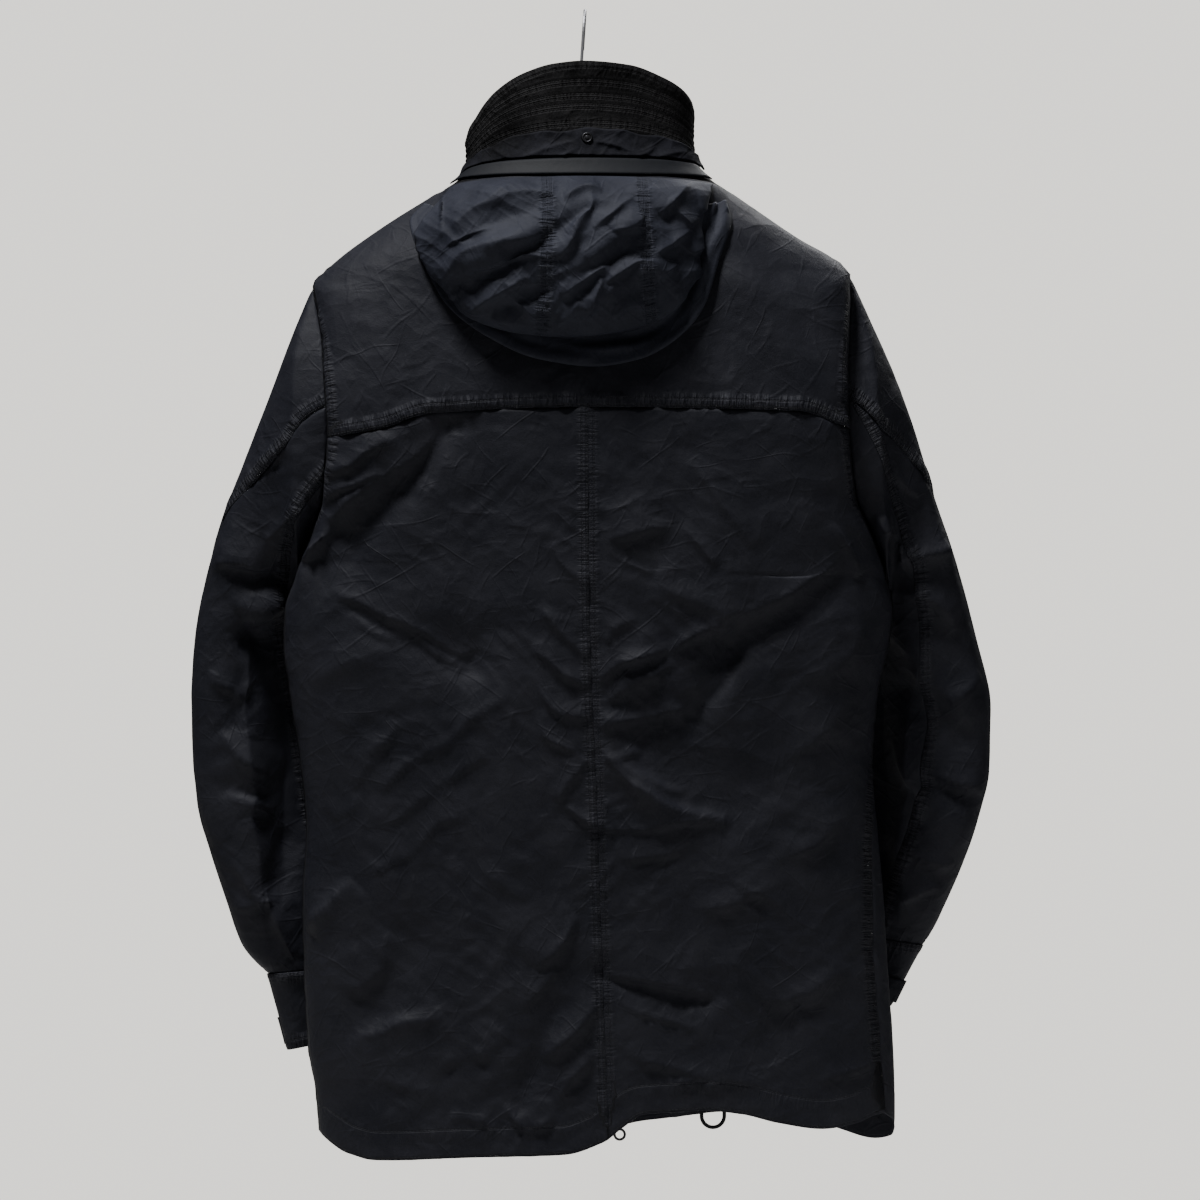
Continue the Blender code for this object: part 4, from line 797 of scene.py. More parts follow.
HOOD_DRAPES = table(
    DRAPE_COLUMNS,
    (-108, 185, -33, 156, -8, 10, 0.35, 3.5),
    (-121, 208, -69, 183, -4, 9, 0.35, 3),
    (-121, 229, -33, 187, -8, 11, 0.35, 4),
    (-95, 224, -31, 210, -6, 9, 0.25, 4.5),
    (-91, 253, -42, 225, -3, 9, 0.35, 4),
    (-61, 231, -36, 265, 4, 8, 0.35, 3.5),
    (-76, 258, -47, 271, 3, 8, 0.4, 3),
    (-105, 242, -76, 255, 4, 9, 0.4, 3),
    (-89, 171, -47, 148, -2, 8, 0.4, 2.5),
    (-24, 213, 8, 161, 4, 9, 0.35, 4.5),
    (-16, 238, 23, 213, -2, 9, 0.35, 4),
    (-2, 258, 15, 225, 3, 7, 0.35, 3.5),
    (27, 193, 48, 174, 2, 8, 0.35, 3.5),
    (-18, 162, 15, 154, -3, 8, 0.3, 4),
    (18, 232, 47, 213, -2, 8, 0.35, 3.5),
    (8, 187, 40, 159, 4, 8, 0.35, 3.5),
    (-24, 264, -2, 242, 2, 7, 0.4, 3),
    (21, 258, 47, 245, -2, 8, 0.35, 3.5),
    (-11, 193, 2, 174, 0, 6, 0.4, 2.5),
    (60, 174, 86, 145, 3, 8, 0.35, 3.5),
    (57, 208, 86, 183, -3, 8, 0.35, 3.5),
    (70, 161, 87, 182, 2, 7, 0.35, 3.5),
    (70, 239, 103, 216, -3, 8, 0.3, 4),
    (57, 225, 79, 213, 0, 6, 0.4, 2.5),
    (78, 263, 115, 214, -6, 9, 0.3, 4),
    (92, 167, 121, 161, 3, 9, 0.4, 3.5),
    (86, 206, 102, 187, 2, 7, 0.4, 3),
)
FLAP_DRAPES = table(
    DRAPE_COLUMNS,
    (-6, 112, -52, 121, 2, 4, 0.35, 1.8),
    (-2, 118, -38, 124, -2, 4, 0.4, 1.5),
    (10, 112, 40, 118, -2, 4, 0.35, 1.8),
    (36, 124, 60, 112, 2, 4, 0.35, 1.6),
    (-78, 112, -60, 124, 0, 4, 0.4, 1.3),
    (62, 122, 84, 118, 0, 4, 0.4, 1.3),
)
LEFT_SLEEVE_DRAPES = table(
    DRAPE_COLUMNS,
    (-314, 457, -246, 452, 0, 14, 0.75, 7),
    (-284, 507, -246, 484, 2, 22, 0.5, 7),
    (-266, 770, -287, 500, -3, 20, 0.8, 7),
    (-246, 500, -252, 740, 0, 20, 1, -5),
    (-222, 423, -211, 364, 0, 9, 0.4, 3),
    (-268, 438, -227, 409, 2, 12, 0.5, 3),
    (-307, 600, -268, 633, 3, 9, 0.4, 3),
    (-299, 654, -257, 666, 2, 8, 0.35, 3),
    (-268, 720, -245, 787, 2, 10, 0.4, 3),
    (-296, 704, -268, 741, 2, 8, 0.4, 2.5),
    (-311, 546, -286, 571, 0, 8, 0.5, 2.5),
    (-274, 380, -237, 355, 1, 9, 0.5, 2),
    (-290, 741, -253, 737, 2, 6, 0.35, 2.5),
)
RIGHT_SLEEVE_DRAPES = table(
    DRAPE_COLUMNS,
    (246, 452, 314, 448, 0, 14, 0.7, 6),
    (250, 478, 312, 505, -3, 20, 0.5, 6),
    (284, 520, 262, 760, 4, 20, 0.8, 6),
    (246, 520, 250, 740, 0, 18, 1, -4),
    (242, 422, 266, 455, 0, 10, 0.35, 5),
    (290, 629, 332, 646, 2, 9, 0.35, 3.5),
    (261, 604, 286, 671, 3, 12, 0.4, 4),
    (303, 571, 332, 554, 0, 8, 0.4, 3),
    (270, 696, 307, 712, 2, 8, 0.4, 3),
    (261, 737, 295, 729, 0, 7, 0.35, 2.5),
    (282, 388, 307, 430, 2, 10, 0.5, 3),
    (253, 380, 274, 405, 0, 8, 0.4, 2.5),
)
FRONT_DRAPES = table(
    DRAPE_COLUMNS,
    (-200, 300, -90, 260, 4, 14, 0.4, 3.5),
    (80, 250, 190, 300, -4, 14, 0.4, 3.5),
    (-210, 420, -110, 350, 5, 16, 0.35, 5),
    (100, 360, 215, 430, -5, 16, 0.35, 5),
    (-190, 480, -90, 540, -4, 20, 0.35, 5),
    (90, 520, 210, 450, 6, 22, 0.35, 5),
    (20, 470, 90, 430, 3, 9, 0.4, 3),
    (-90, 440, -25, 480, 3, 9, 0.4, 3),
    (-150, 600, -30, 560, 4, 12, 0.4, 3.5),
    (25, 590, 140, 630, 4, 12, 0.4, 3.5),
    (-200, 700, -80, 650, 6, 16, 0.4, 4),
    (60, 720, 200, 660, 6, 16, 0.4, 4),
    (-120, 770, -25, 810, 3, 10, 0.35, 3.5),
    (30, 790, 150, 840, 4, 12, 0.35, 4),
    (-210, 860, -110, 820, 4, 14, 0.4, 3.5),
    (110, 880, 220, 850, 4, 12, 0.4, 3),
)

def both_sides(*rows):
    """Rows for a left and a right seam, from rows whose names have a gap for the side."""
    return [
        (panel.format(side), seam.format(side), *sizes)
        for panel, seam, *sizes in rows
        for side in ("left", "right")
    ]


# Seams: the panel, its seam, how far the stitched edge stands up, its width, then the puckers
SEAM_RELIEF = (
    ("back_yoke", "yoke", 1.0, 9.0, 1.7),
    *both_sides(("back_{}", "yoke", -0.2, 5.0, 0.3)),
    ("back_left", "centre", 0.4, 7.0, 0.5),
    ("back_right", "centre", 0.4, 6.0, 0.5),
    *both_sides(
        ("back_yoke", "{}_armhole", 0.8, 16.0, 1.6),
        ("back_{}", "{}_armhole", 0.8, 16.0, 1.4),
        ("front_{}", "{}_armhole", 0.9, 9.0, 0.6),
        ("{}_sleeve_cap", "{}_cap", 0.9, 9.0, 1.7),
        ("{}_sleeve_cap", "{}_armhole", -0.3, 5.0, 0.4),
        ("{}_sleeve_top", "{}_back_seam", 0.7, 8.0, 0.6),
        ("{}_sleeve_top", "{}_front_seam", 0.7, 8.0, 0.5),
    ),
    ("left_sleeve_top", "left_cuff", -0.5, 6.0, 0.6),
    ("left_sleeve_under", "left_cuff", -0.5, 6.0, 0.6),
    ("right_sleeve_top", "right_cuff", -0.5, 6.0, 0.6),
    ("right_sleeve_under", "right_cuff", -0.5, 6.0, 0.6),
    *both_sides(
        ("{}_cuff", "{}_cuff", 0.7, 7.0, 0.4),
        ("{}_cuff", "{}_cuff_edge", 0.5, 9.0, 0.4),
        ("back_{}", "hem", 0.3, 25.0, 0.2),
        ("front_{}", "front_hem", 0.3, 25.0, 0.2),
    ),
    ("back_left", "left_side", 0.4, 6.0, 0.5),
    ("back_right", "right_side", 0.6, 8.0, 0.6),
    *both_sides(
        ("front_{}", "{}_side", -0.3, 6.0, 0.3),
        ("front_{}", "front_edge_{}", 0.7, 12.0, 0.4),
    ),
    ("collar_band", "collar_top", 0.5, 7.0, 0.5),
    *[("collar_band", f"collar_row_{k}", 0.06, 3.0, 0.25) for k in (1, 2, 3, 4)],
)


def refine(values, count):
    """The same run of numbers with evenly placed ones between each two."""
    values = np.asarray(values, float)
    at = np.arange((len(values) - 1) * count + 1) / count
    return np.interp(at, np.arange(len(values)), values)


def noise(points, size, seed):
    """Smooth noise from -1 to 1, on a lattice whose cells have the given sizes in millimetres."""
    place = points / np.asarray(size, float)
    cell = np.floor(place).astype(np.int64)
    t = place - cell
    t = t * t * (3 - 2 * t)
    total = np.zeros(place.shape[:-1])
    for corner in range(8):
        bits = np.array([(corner >> k) & 1 for k in range(3)])
        key = (cell + bits) * np.array([73856093, 19349663, 83492791])
        mixed = (key[..., 0] ^ key[..., 1] ^ key[..., 2] ^ (seed * 2654435761)) & 0xFFFFFFFF
        mixed = ((mixed ^ (mixed >> 13)) * 1274126177) & 0xFFFFFFFF
        value = ((mixed ^ (mixed >> 16)) & 0xFFFF) / 32767.5 - 1
        total += value * np.prod(np.where(bits, t, 1 - t), axis=-1)
    return total


# Fine wrinkles: the way each set runs in degrees, its length and spacing, share, and patch size
WRINKLES = table(
    "way long short share patch",
    (38, 62, 13, 1.0, 90),
    (-32, 55, 12, 0.9, 80),
    (8, 70, 15, 0.7, 110),
    (48, 26, 6.5, 0.45, 60),
    (-44, 24, 6, 0.4, 55),
    (85, 50, 14, 0.4, 100),
)


def crumple(points, seed=WRINKLE_SEED):
    """Uneven fine wrinkles: patches of narrow ridges, each patch running its own way."""
    warp = np.stack([noise(points, (45, 60, 45), seed + k) for k in range(3)], axis=-1) * 9
    bent = points + warp
    x, y, drop = bent[..., 0], bent[..., 1], bent[..., 2]
    total = np.zeros(points.shape[:-1])
    for way, long, short, share, patch in zip(*WRINKLES.values(), strict=True):
        seed += 7
        sine, cosine = math.sin(math.radians(way)), math.cos(math.radians(way))
        run, side = x * cosine - drop * sine, x * sine + drop * cosine
        lines = noise(np.stack([run, y, side], axis=-1), (long, 70, short), seed)
        here = np.clip(0.5 + 1.5 * noise(points, (patch, patch, patch), seed + 3), 0, 1)
        total += share * here * (1 - 2.6 * np.abs(lines) ** 0.8)
    return total


def drapes_at(drapes, x, drop):
    """How far the drapes lift the cloth, at points of the photographed plane."""
    total = np.zeros(np.broadcast(x, drop).shape)
    spot = np.stack([x, 0 * x, drop], axis=-1)
    x, drop = x + 4 * noise(spot, (24, 24, 24), 5), drop + 4 * noise(spot, (24, 24, 24), 6)
    for x0, d0, x1, d1, bow, width, lee, height in zip(*drapes.values(), strict=True):
        run_x, run_d = x1 - x0, d1 - d0
        length = math.hypot(run_x, run_d)
        t = ((x - x0) * run_x + (drop - d0) * run_d) / length**2
        side = ((drop - d0) * run_x - (x - x0) * run_d) / length
        side = side - bow * np.sin(np.pi * np.clip(t, 0, 1))
        fade = np.clip(1 - np.abs(2 * t - 1) ** 2.5, 0, 1) ** 0.8
        slope = np.where(side > 0, side / (width * lee), side / width)
        total = total + height * fade * np.exp(-(np.abs(slope) ** 1.15))
    return total


def seam_places(line, points):
    """The distance of each point from a seam, and how far along the seam it lies, in millimetres."""
    tree = KDTree(len(line))
    for k, spot in enumerate(line):
        tree.insert(spot, k)
    tree.balance()
    found = [tree.find(p)[1:] for p in points]
    index = np.array([f[0] for f in found])
    away = np.array([f[1] for f in found])
    steps = np.linalg.norm(np.diff(line, axis=0), axis=1)
    along = np.concatenate([[0], np.cumsum(steps)])
    way = np.gradient(line, axis=0)
    way /= np.maximum(np.linalg.norm(way, axis=1, keepdims=True), 1e-9)
    slide = np.sum((points - line[index]) * way[index], axis=1)
    return np.sqrt(np.maximum(away**2 - slide**2, 0)), along[index] + slide


def puckers(away, along, width, seed):
    """Short gathers square to a seam: strongest between its two rows of stitches."""
    band = min(width, GATHER_BAND)
    off = np.abs(away - (width - band / 2))
    spot = np.stack([along, away * 0.35, np.zeros_like(along)], axis=-1)
    short = noise(spot, (5.5, 9, 1), seed)
    long = noise(spot, (15, 20, 1), seed + 1)
    inside = np.clip(1.5 - off / band * 2, 0, 1)
    return short * inside * 0.8 + long * np.exp(-np.maximum(off - band / 2, 0) / 8) * 0.6


def seam_height(away, raised, width):
    """A stitched edge: flat on top, with a groove for each of its two rows of stitches."""
    top = raised / (1 + np.exp((away - width) * 1.6))
    rows = away - NEAR_ROW, away - width + FAR_ROW
    return top - GROOVE_DEEP * sum(np.exp(-((row / GROOVE_HALF) ** 2)) for row in rows)


def relief(name, points, seams):
    """How far a panel's points stand out for its seams, and each one's place at its nearest seam."""
    height, places = np.zeros(len(points)), np.tile(NO_SEAM, (len(points), 1))
    for k, (panel, seam, raised, width, pucker) in enumerate(SEAM_RELIEF):
        if panel != name:
            continue
        line = seams[seam]
        low, high = line.min(axis=0) - 3 * width, line.max(axis=0) + 3 * width
        close = np.flatnonzero(np.all((points > low) & (points < high), axis=1))
        if not len(close):
            continue
        away, along = seam_places(line, points[close])
        height[close] += seam_height(away, raised, width)
        height[close] += pucker * puckers(away, along, width, SEAM_SEED + 3 * k)
        if raised > 0:
            nearer = away / width < places[close, 1] / places[close, 2]
            found = np.stack([along + 137.0 * k, away, np.full_like(away, width)], axis=1)
            places[close[nearer]] = found[nearer]
    return height, places


# ---------------------------------------------------------------- making pieces


def add_mesh(name, points, faces, finish, wear, places, rim=0):
    """A mesh of triangles as its own object, from points in metres. Its last faces, the rim, are flat."""
    mesh = bpy.data.meshes.new(name)
    mesh.vertices.add(len(points))
    mesh.vertices.foreach_set("co", np.ascontiguousarray(points, np.float32).ravel())
    mesh.loops.add(faces.size)
    mesh.loops.foreach_set("vertex_index", np.ascontiguousarray(faces, np.int32).ravel())
    mesh.polygons.add(len(faces))
    mesh.polygons.foreach_set("loop_start", np.arange(0, faces.size, 3, dtype=np.int32))
    mesh.polygons.foreach_set("use_smooth", np.arange(len(faces)) < len(faces) - rim)
    mesh.update(calc_edges=True)
    layer = mesh.attributes.new("wear", "FLOAT", "POINT")
    layer.data.foreach_set("value", np.ascontiguousarray(wear, np.float32))
    layer = mesh.attributes.new("seam_place", "FLOAT_VECTOR", "POINT")
    layer.data.foreach_set("vector", np.ascontiguousarray(places, np.float32).ravel())
    mesh.materials.append(finish)
    made = bpy.data.objects.new(name, mesh)
    bpy.context.collection.objects.link(made)
    return made


def add_panel(name, points, normals, triangles, wall, finish, wear, places):
    """A panel of cloth with a wall, whose edges roll in a little."""
    used, index = np.unique(triangles, return_inverse=True)
    faces = index.reshape(-1, 3)
    outer, inward, worn = points[used].copy(), normals[used], wear[used]
    count = len(used)
    directed = np.concatenate([faces[:, [0, 1]], faces[:, [1, 2]], faces[:, [2, 0]]])
    rim = ~np.isin(directed[:, 0] * count + directed[:, 1], directed[:, 1] * count + directed[:, 0])
    a, b = directed[rim].T
    inner = outer - inward * wall * MM
    outer[a] -= inward[a] * wall * 0.25 * MM
    sides = np.concatenate(
        [np.stack([b, a, a + count], axis=1), np.stack([b, a + count, b + count], axis=1)]
    )
    whole = np.concatenate([faces, faces[:, ::-1] + count, sides])
    places = np.tile(places[used], (2, 1))
    both = np.concatenate([outer, inner])
    return add_mesh(name, both, whole, finish, np.tile(worn, 2), places, len(sides))


def fine_sheet(name, points, wall, finish, inside=(0.0, SIDE_Y), height=0.0, wear=None):
    """A wall on a grid of its own, from its outer points in millimetres."""
    rows, columns = points.shape[:2]
    triangles = grid_triangles(np.arange(rows * columns).reshape(rows, columns)).reshape(-1, 3)
    flat = to_world(points.reshape(-1, 3))
    normals = vertex_normals(flat, triangles)
    if np.sum(normals[:, :2] * (flat[:, :2] - np.array(inside) * MM)) < 0:
        triangles, normals = triangles[:, ::-1], -normals
    flat = flat + normals * np.asarray(height).reshape(-1, 1) * MM
    normals = vertex_normals(flat, triangles)
    worn = np.zeros(len(flat)) if wear is None else np.asarray(wear).ravel()
    places = np.tile(NO_SEAM, (len(flat), 1))
    return add_panel(name, flat, normals, triangles, wall, finish, worn, places)


# ---------------------------------------------------------------- the shell


def eased(block, row):
    """The block with the kink at a row smoothed out, apart from its outer columns."""
    for _ in range(EASING):
        near = block[row - FINE : row + FINE + 1, 3:-3, 1]
        near[1:-1] = (near[:-2] + 2 * near[1:-1] + near[2:]) / 4
    return block


def shell_surface():
    """The shell as one welded surface: points, each panel's triangles, and its seams' lines."""
    blocks, panels, lines = [], {}, {}
    start = 0

    def add(block):
        nonlocal start
        ids = np.arange(start, start + block[..., 0].size).reshape(block.shape[:-1])
        blocks.append(block.reshape(-1, 3))
        start += ids.size
        return ids

    def cut(name, cells):
        panels.setdefault(name, []).append(cells.reshape(-1, 3))

    last_row, pit_row = YOKE_ROWS + CHEST_ROWS + SKIRT_ROWS, (YOKE_ROWS + CHEST_ROWS) * FINE
    rows = refine(np.arange(last_row + 1.0), FINE)[:, None]
    shares = {face: refine(torso_shares(face), ACROSS) for face in ("back", "front")}
    back = add(eased(torso_point(shares["back"][None], rows, "back"), pit_row))
    front = add(torso_point(shares["front"][None], rows, "front"))
    tip = SHOULDER_CELLS * ACROSS
    front[0, : tip + 1], front[0, -tip - 1 :] = back[0, : tip + 1], back[0, -tip - 1 :]
    front[pit_row:, 0], front[pit_row:, -1] = back[pit_row:, 0], back[pit_row:, -1]

    cells, middle = grid_triangles(back), (back.shape[1] - 1) // 2
    yoke = YOKE_ROWS * FINE
    cut("back_yoke", cells[:yoke])
    cut("back_left", cells[yoke:, :middle])
    cut("back_right", cells[yoke:, middle:])
    lines.update(yoke=back[yoke], centre=back[yoke:, middle], hem=back[-1], front_hem=front[-1])
    lines.update(left_side=back[pit_row:, 0], right_side=back[pit_row:, -1])
    cells, middle = grid_triangles(front[:, ::-1]), (front.shape[1] - 1) // 2
    cut("front_right", cells[:, : middle - ACROSS])
    cut("zip_tape_right", cells[:, middle - ACROSS : middle])
    cut("zip_tape_left", cells[:, middle : middle + ACROSS])
    cut("front_left", cells[:, middle + ACROSS :])
    lines["front_edge_left"] = front[:, middle - ACROSS]
    lines["front_edge_right"] = front[:, middle + ACROSS]

    neck = slice(tip, -tip)
    round_neck = np.concatenate([back[0, neck], front[0, neck][::-1][1:-1]])
    back_x = blocks[0].reshape(*back.shape, 3)[0, neck, 0]
    front_x = blocks[1].reshape(*front.shape, 3)[0, neck, 0][::-1][1:-1]
    angles = np.concatenate([neck_angle(back_x, "back"), neck_angle(front_x, "front")])
    up = refine(COLLAR_STEPS, COLLAR_FINE)
    collar = add(collar_point(angles[None], up[1:, None]))
    collar = np.concatenate([round_neck[None], collar])
    collar = np.concatenate([collar, collar[:, :1]], axis=1)
    cells = grid_triangles(collar[::-1])
    zip_at = len(back_x) - 1 + front_x.size // 2 + 1
    cut("collar_band", cells[:, : zip_at - ACROSS])
    cut("zip_tape_right", cells[:, zip_at - ACROSS : zip_at])
    cut("zip_tape_left", cells[:, zip_at : zip_at + ACROSS])
    cut("collar_band", cells[:, zip_at + ACROSS :])
    lines["collar_top"] = collar[-1]
    for k, share in enumerate(COLLAR_STITCHING):
        lines[f"collar_row_{k + 1}"] = collar[int(np.argmin(np.abs(up - share)))]

    for side in ("left", "right"):
        column = 0 if side == "left" else -1
        down, up = back[: pit_row + 1, column], front[1:pit_row, column][::-1]
        around = np.arange(SLEEVE_AROUND * FINE) / FINE
        rings = refine(np.arange(float(len(LEFT_SLEEVE["outer_x"]))), FINE)[1:, None]
        cuff_rings = refine(np.arange(float(len(LEFT_CUFF["outer_x"]))), FINE)[1:, None]
        tube = np.concatenate(
            [
                np.concatenate([down, up])[None],
                add(sleeve_point(side, rings, around[None])),
                add(cuff_point(side, cuff_rings, around[None])),
            ]
        )
        tube = np.concatenate([tube, tube[:, :1]], axis=1)
        cells = grid_triangles(tube, (around < SLEEVE_AROUND / 2)[None, :, None])
        cut_sleeve(side, cells, len(rings), cut)
        lines[f"{side}_armhole"] = tube[0]
        lines[f"{side}_cuff"], lines[f"{side}_cuff_edge"] = tube[len(rings)], tube[-1]
        lines[f"{side}_back_seam"] = tube[: len(rings) + 1, TOP_EDGE[side] * FINE]
        lines[f"{side}_front_seam"] = tube[: len(rings) + 1, FRONT_EDGE * FINE]
        border = np.arange(-CAP_RINGS * FINE, CAP_RINGS * FINE + 1)
        lines[f"{side}_cap"] = tube[CAP_RINGS * FINE - np.abs(border), border - (border < 0)]
    points = np.concatenate(blocks)
    panels = {name: np.concatenate(parts) for name, parts in panels.items()}
    return points, panels, lines


def cut_sleeve(side, cells, cuff_ring, cut):
    """The cap above its V seam, the upper and under sleeve, and the cuff."""
    rings, columns = cells.shape[:2]
    wide = SLEEVE_AROUND * FINE
    column = np.arange(columns)[None, :, None]
    on_back = column < wide // 2
    # Where each triangle's middle lies, in steps down the sleeve and steps from its outer line
    first = np.array([1, 0])[None, None]
    down = np.arange(rings)[:, None, None] + np.where(on_back, 2 - first, 1 + first) / 3
    across = column + (2 - first) / 3
    near = np.minimum(across, wide - across)
    down, near, across = np.broadcast_arrays(down, near, across)
    cap = down + near < CAP_RINGS * FINE
    cuff = down > cuff_ring
    under = (across > TOP_EDGE[side] * FINE) & (across < FRONT_EDGE * FINE)
    if side == "right":
        cells = cells[..., ::-1]
    cut(f"{side}_sleeve_cap", cells[cap])
    cut(f"{side}_cuff", cells[cuff])
    cut(f"{side}_sleeve_under", cells[~cap & ~cuff & under])
    cut(f"{side}_sleeve_top", cells[~cap & ~cuff & ~under])


def calm_at(points, normals):
    """How much the cloth crumples: least on the yoke, most low on the body and at the elbows."""
    x, drop = points[:, 0], points[:, 2]
    amount = np.interp(drop, (140, 330, 380, 560, 900), (0.3, 0.35, 0.6, 1.0, 1.0))
    sleeve = np.abs(x) > 250
    elbow = np.exp(-(((drop - 500) / 90) ** 2))
    return np.where(sleeve, 0.6 + 0.4 * elbow, amount) * (0.35 + 0.65 * np.abs(normals[:, 1]))


def creased_shell():
    """The shell's surface with its creases and wrinkles, its normals, and how worn each point is."""
    points, panels, lines = shell_surface()
    triangles = np.concatenate(list(panels.values()))
    flat = to_world(points)
    normals = vertex_normals(flat, triangles)
    x, drop = points[:, 0], points[:, 2]
    body = np.zeros(len(points), bool)
    for name, found in panels.items():
        body[np.unique(found)] |= name.startswith(("back", "front"))
    behind, before = (np.clip(2.2 * way * normals[:, 1] - 0.7, 0, 1) for way in (-1, 1))
    lifted = BACK_LIFT * drapes_at(BACK_DRAPES, x, drop) * behind * body
    lifted += FRONT_LIFT * drapes_at(FRONT_DRAPES, x, drop) * before * body
    for drapes, here in ((LEFT_SLEEVE_DRAPES, ~body & (x < 0)), (RIGHT_SLEEVE_DRAPES, ~body & (x >= 0))):
        lifted += SLEEVE_LIFT * drapes_at(drapes, x, drop) * behind * here
        lifted += SLEEVE_FRONT_LIFT * drapes_at(drapes, x, drop - SLEEVE_SHIFT) * before * here
    fine = crumple(points)
    height = fine * WRINKLE_HEIGHT * calm_at(points, normals) + lifted
    wear = np.clip(0.2 + 0.12 * fine + 0.03 * lifted, 0, 1)
    surface = flat + normals * height[:, None] * MM
    seams = {name: points[ids] for name, ids in lines.items()}
    return surface, vertex_normals(surface, triangles), panels, seams, wear, points


# ---------------------------------------------------------------- finishes


def group_with(name, inputs, outputs):
    """An empty shader node group with named sockets, and its two end nodes."""
    group = bpy.data.node_groups.new(name, "ShaderNodeTree")
    for label, kind, value in inputs:
        socket = group.interface.new_socket(label, in_out="INPUT", socket_type=kind)
        if value is not None:
            socket.default_value = value
    for label, kind in outputs:
        group.interface.new_socket(label, in_out="OUTPUT", socket_type=kind)
    return group, group.nodes.new("NodeGroupInput"), group.nodes.new("NodeGroupOutput")


def math_node(group, operation, first, second=None, clamp=False):
    node = group.nodes.new("ShaderNodeMath")
    node.operation, node.use_clamp = operation, clamp
    for index, value in enumerate((first, second)):
        if isinstance(value, (int, float)):
            node.inputs[index].default_value = value
        elif value is not None:
            group.links.new(value, node.inputs[index])
    return node.outputs[0]


def times(group, *values):
    return functools.reduce(functools.partial(math_node, group, "MULTIPLY"), values)


def plus(group, *values):
    return functools.reduce(functools.partial(math_node, group, "ADD"), values)


def noise_node(group, place, scale, detail, roughness=0.55):
    node = group.nodes.new("ShaderNodeTexNoise")
    node.inputs["Scale"].default_value = scale
    node.inputs["Detail"].default_value = detail
    node.inputs["Roughness"].default_value = roughness
    group.links.new(place, node.inputs["Vector"])
    return node.outputs["Fac"]


def smooth_step(group, value, low, high, at_low, at_high):
    node = group.nodes.new("ShaderNodeMapRange")
    node.interpolation_type = "SMOOTHSTEP"
    for label, number in (("From Min", low), ("From Max", high), ("To Min", at_low), ("To Max", at_high)):
        node.inputs[label].default_value = number
    group.links.new(value, node.inputs["Value"])
    return node.outputs[0]


def voronoi_node(group, place, scale):
    node = group.nodes.new("ShaderNodeTexVoronoi")
    node.feature = "F1"
    node.inputs["Scale"].default_value = scale
    group.links.new(place, node.inputs["Vector"])
    return node.outputs["Distance"]


def vector_node(group, operation, first, second):
    node = group.nodes.new("ShaderNodeVectorMath")
    node.operation = operation
    for index, value in enumerate((first, second)):
        if isinstance(value, tuple):
            node.inputs[index].default_value = value
        else:
            group.links.new(value, node.inputs[index])
    return node.outputs[0]


# Crinkles in the bump: the way each set runs in degrees, waves a metre along and across, edge, height
CRINKLE_LINES = (
    (38.0, 11.0, 36.0, 0.035, 0.28),
    (-35.0, 12.0, 40.0, 0.035, 0.24),
    (62.0, 18.0, 62.0, 0.05, 0.24),
    (-58.0, 18.0, 66.0, 0.05, 0.2),
    (8.0, 15.0, 48.0, 0.04, 0.18),
)


def cloth_grain_group():
    """The nap, crinkles and patchy fading of washed cloth. The height is in millimetres."""
    group, start, end = group_with(
        "cloth_grain",
        [("Place", "NodeSocketVector", None), ("Crinkle", "NodeSocketFloat", 1.0)],
        [("Height", "NodeSocketFloat"), ("Fading", "NodeSocketFloat"), ("Ridges", "NodeSocketFloat")],
    )
    place = start.outputs["Place"]
    bend = group.nodes.new("ShaderNodeTexNoise")
    bend.inputs["Scale"].default_value, bend.inputs["Detail"].default_value = 14.0, 2.0
    group.links.new(place, bend.inputs["Vector"])
    shift = vector_node(group, "SUBTRACT", bend.outputs["Color"], (0.5, 0.5, 0.5))
    shift = vector_node(group, "MULTIPLY", shift, (0.09, 0.09, 0.09))
    warped = vector_node(group, "ADD", place, shift)
    wide = vector_node(group, "MULTIPLY", warped, (0.8, 1.0, 1.35))
    where = noise_node(group, place, 11.0, 3.0)
    coarse = smooth_step(group, where, 0.38, 0.62, 0.15, 1.0)
    finer = smooth_step(group, where, 0.35, 0.6, 1.0, 0.35)
    large = times(group, voronoi_node(group, wide, 21.0), 2.6, coarse)
    small = times(group, voronoi_node(group, wide, 58.0), 0.8, finer)
    folds = times(group, plus(group, large, small), start.outputs["Crinkle"])
    for turn, long, short, thin, high in CRINKLE_LINES:
        spin = group.nodes.new("ShaderNodeVectorRotate")
        spin.rotation_type = "Y_AXIS"
        spin.inputs["Angle"].default_value = math.radians(turn)
        group.links.new(place, spin.inputs["Vector"])
        spot = vector_node(group, "MULTIPLY", spin.outputs["Vector"], (long, 9.0, short))
        level = math_node(group, "SUBTRACT", noise_node(group, spot, 1.0, 1.0, 0.4), 0.5)
        line = smooth_step(group, math_node(group, "ABSOLUTE", level), 0.0, thin, high, 0.0)
        patch = smooth_step(group, noise_node(group, spot, 1.7, 0.0), 0.5, 0.64, 0.0, 1.0)
        folds = plus(group, folds, times(group, line, patch, start.outputs["Crinkle"]))
    grain = times(group, noise_node(group, place, 1100.0, 2.0), 0.22)
    fuzz = times(group, noise_node(group, place, 210.0, 4.0), 0.35)
    group.links.new(plus(group, grain, fuzz, folds), end.inputs["Height"])
    group.links.new(smooth_step(group, folds, 0.7, 2.0, 0.0, 1.0), end.inputs["Ridges"])
    patch = noise_node(group, place, 19.0, 5.0, 0.62)
    speck = noise_node(group, place, 420.0, 3.0, 0.6)
    mottled = plus(group, times(group, speck, 0.45), patch)
    group.links.new(smooth_step(group, mottled, 0.3, 1.05, 0.0, 1.0), end.inputs["Fading"])
    return group


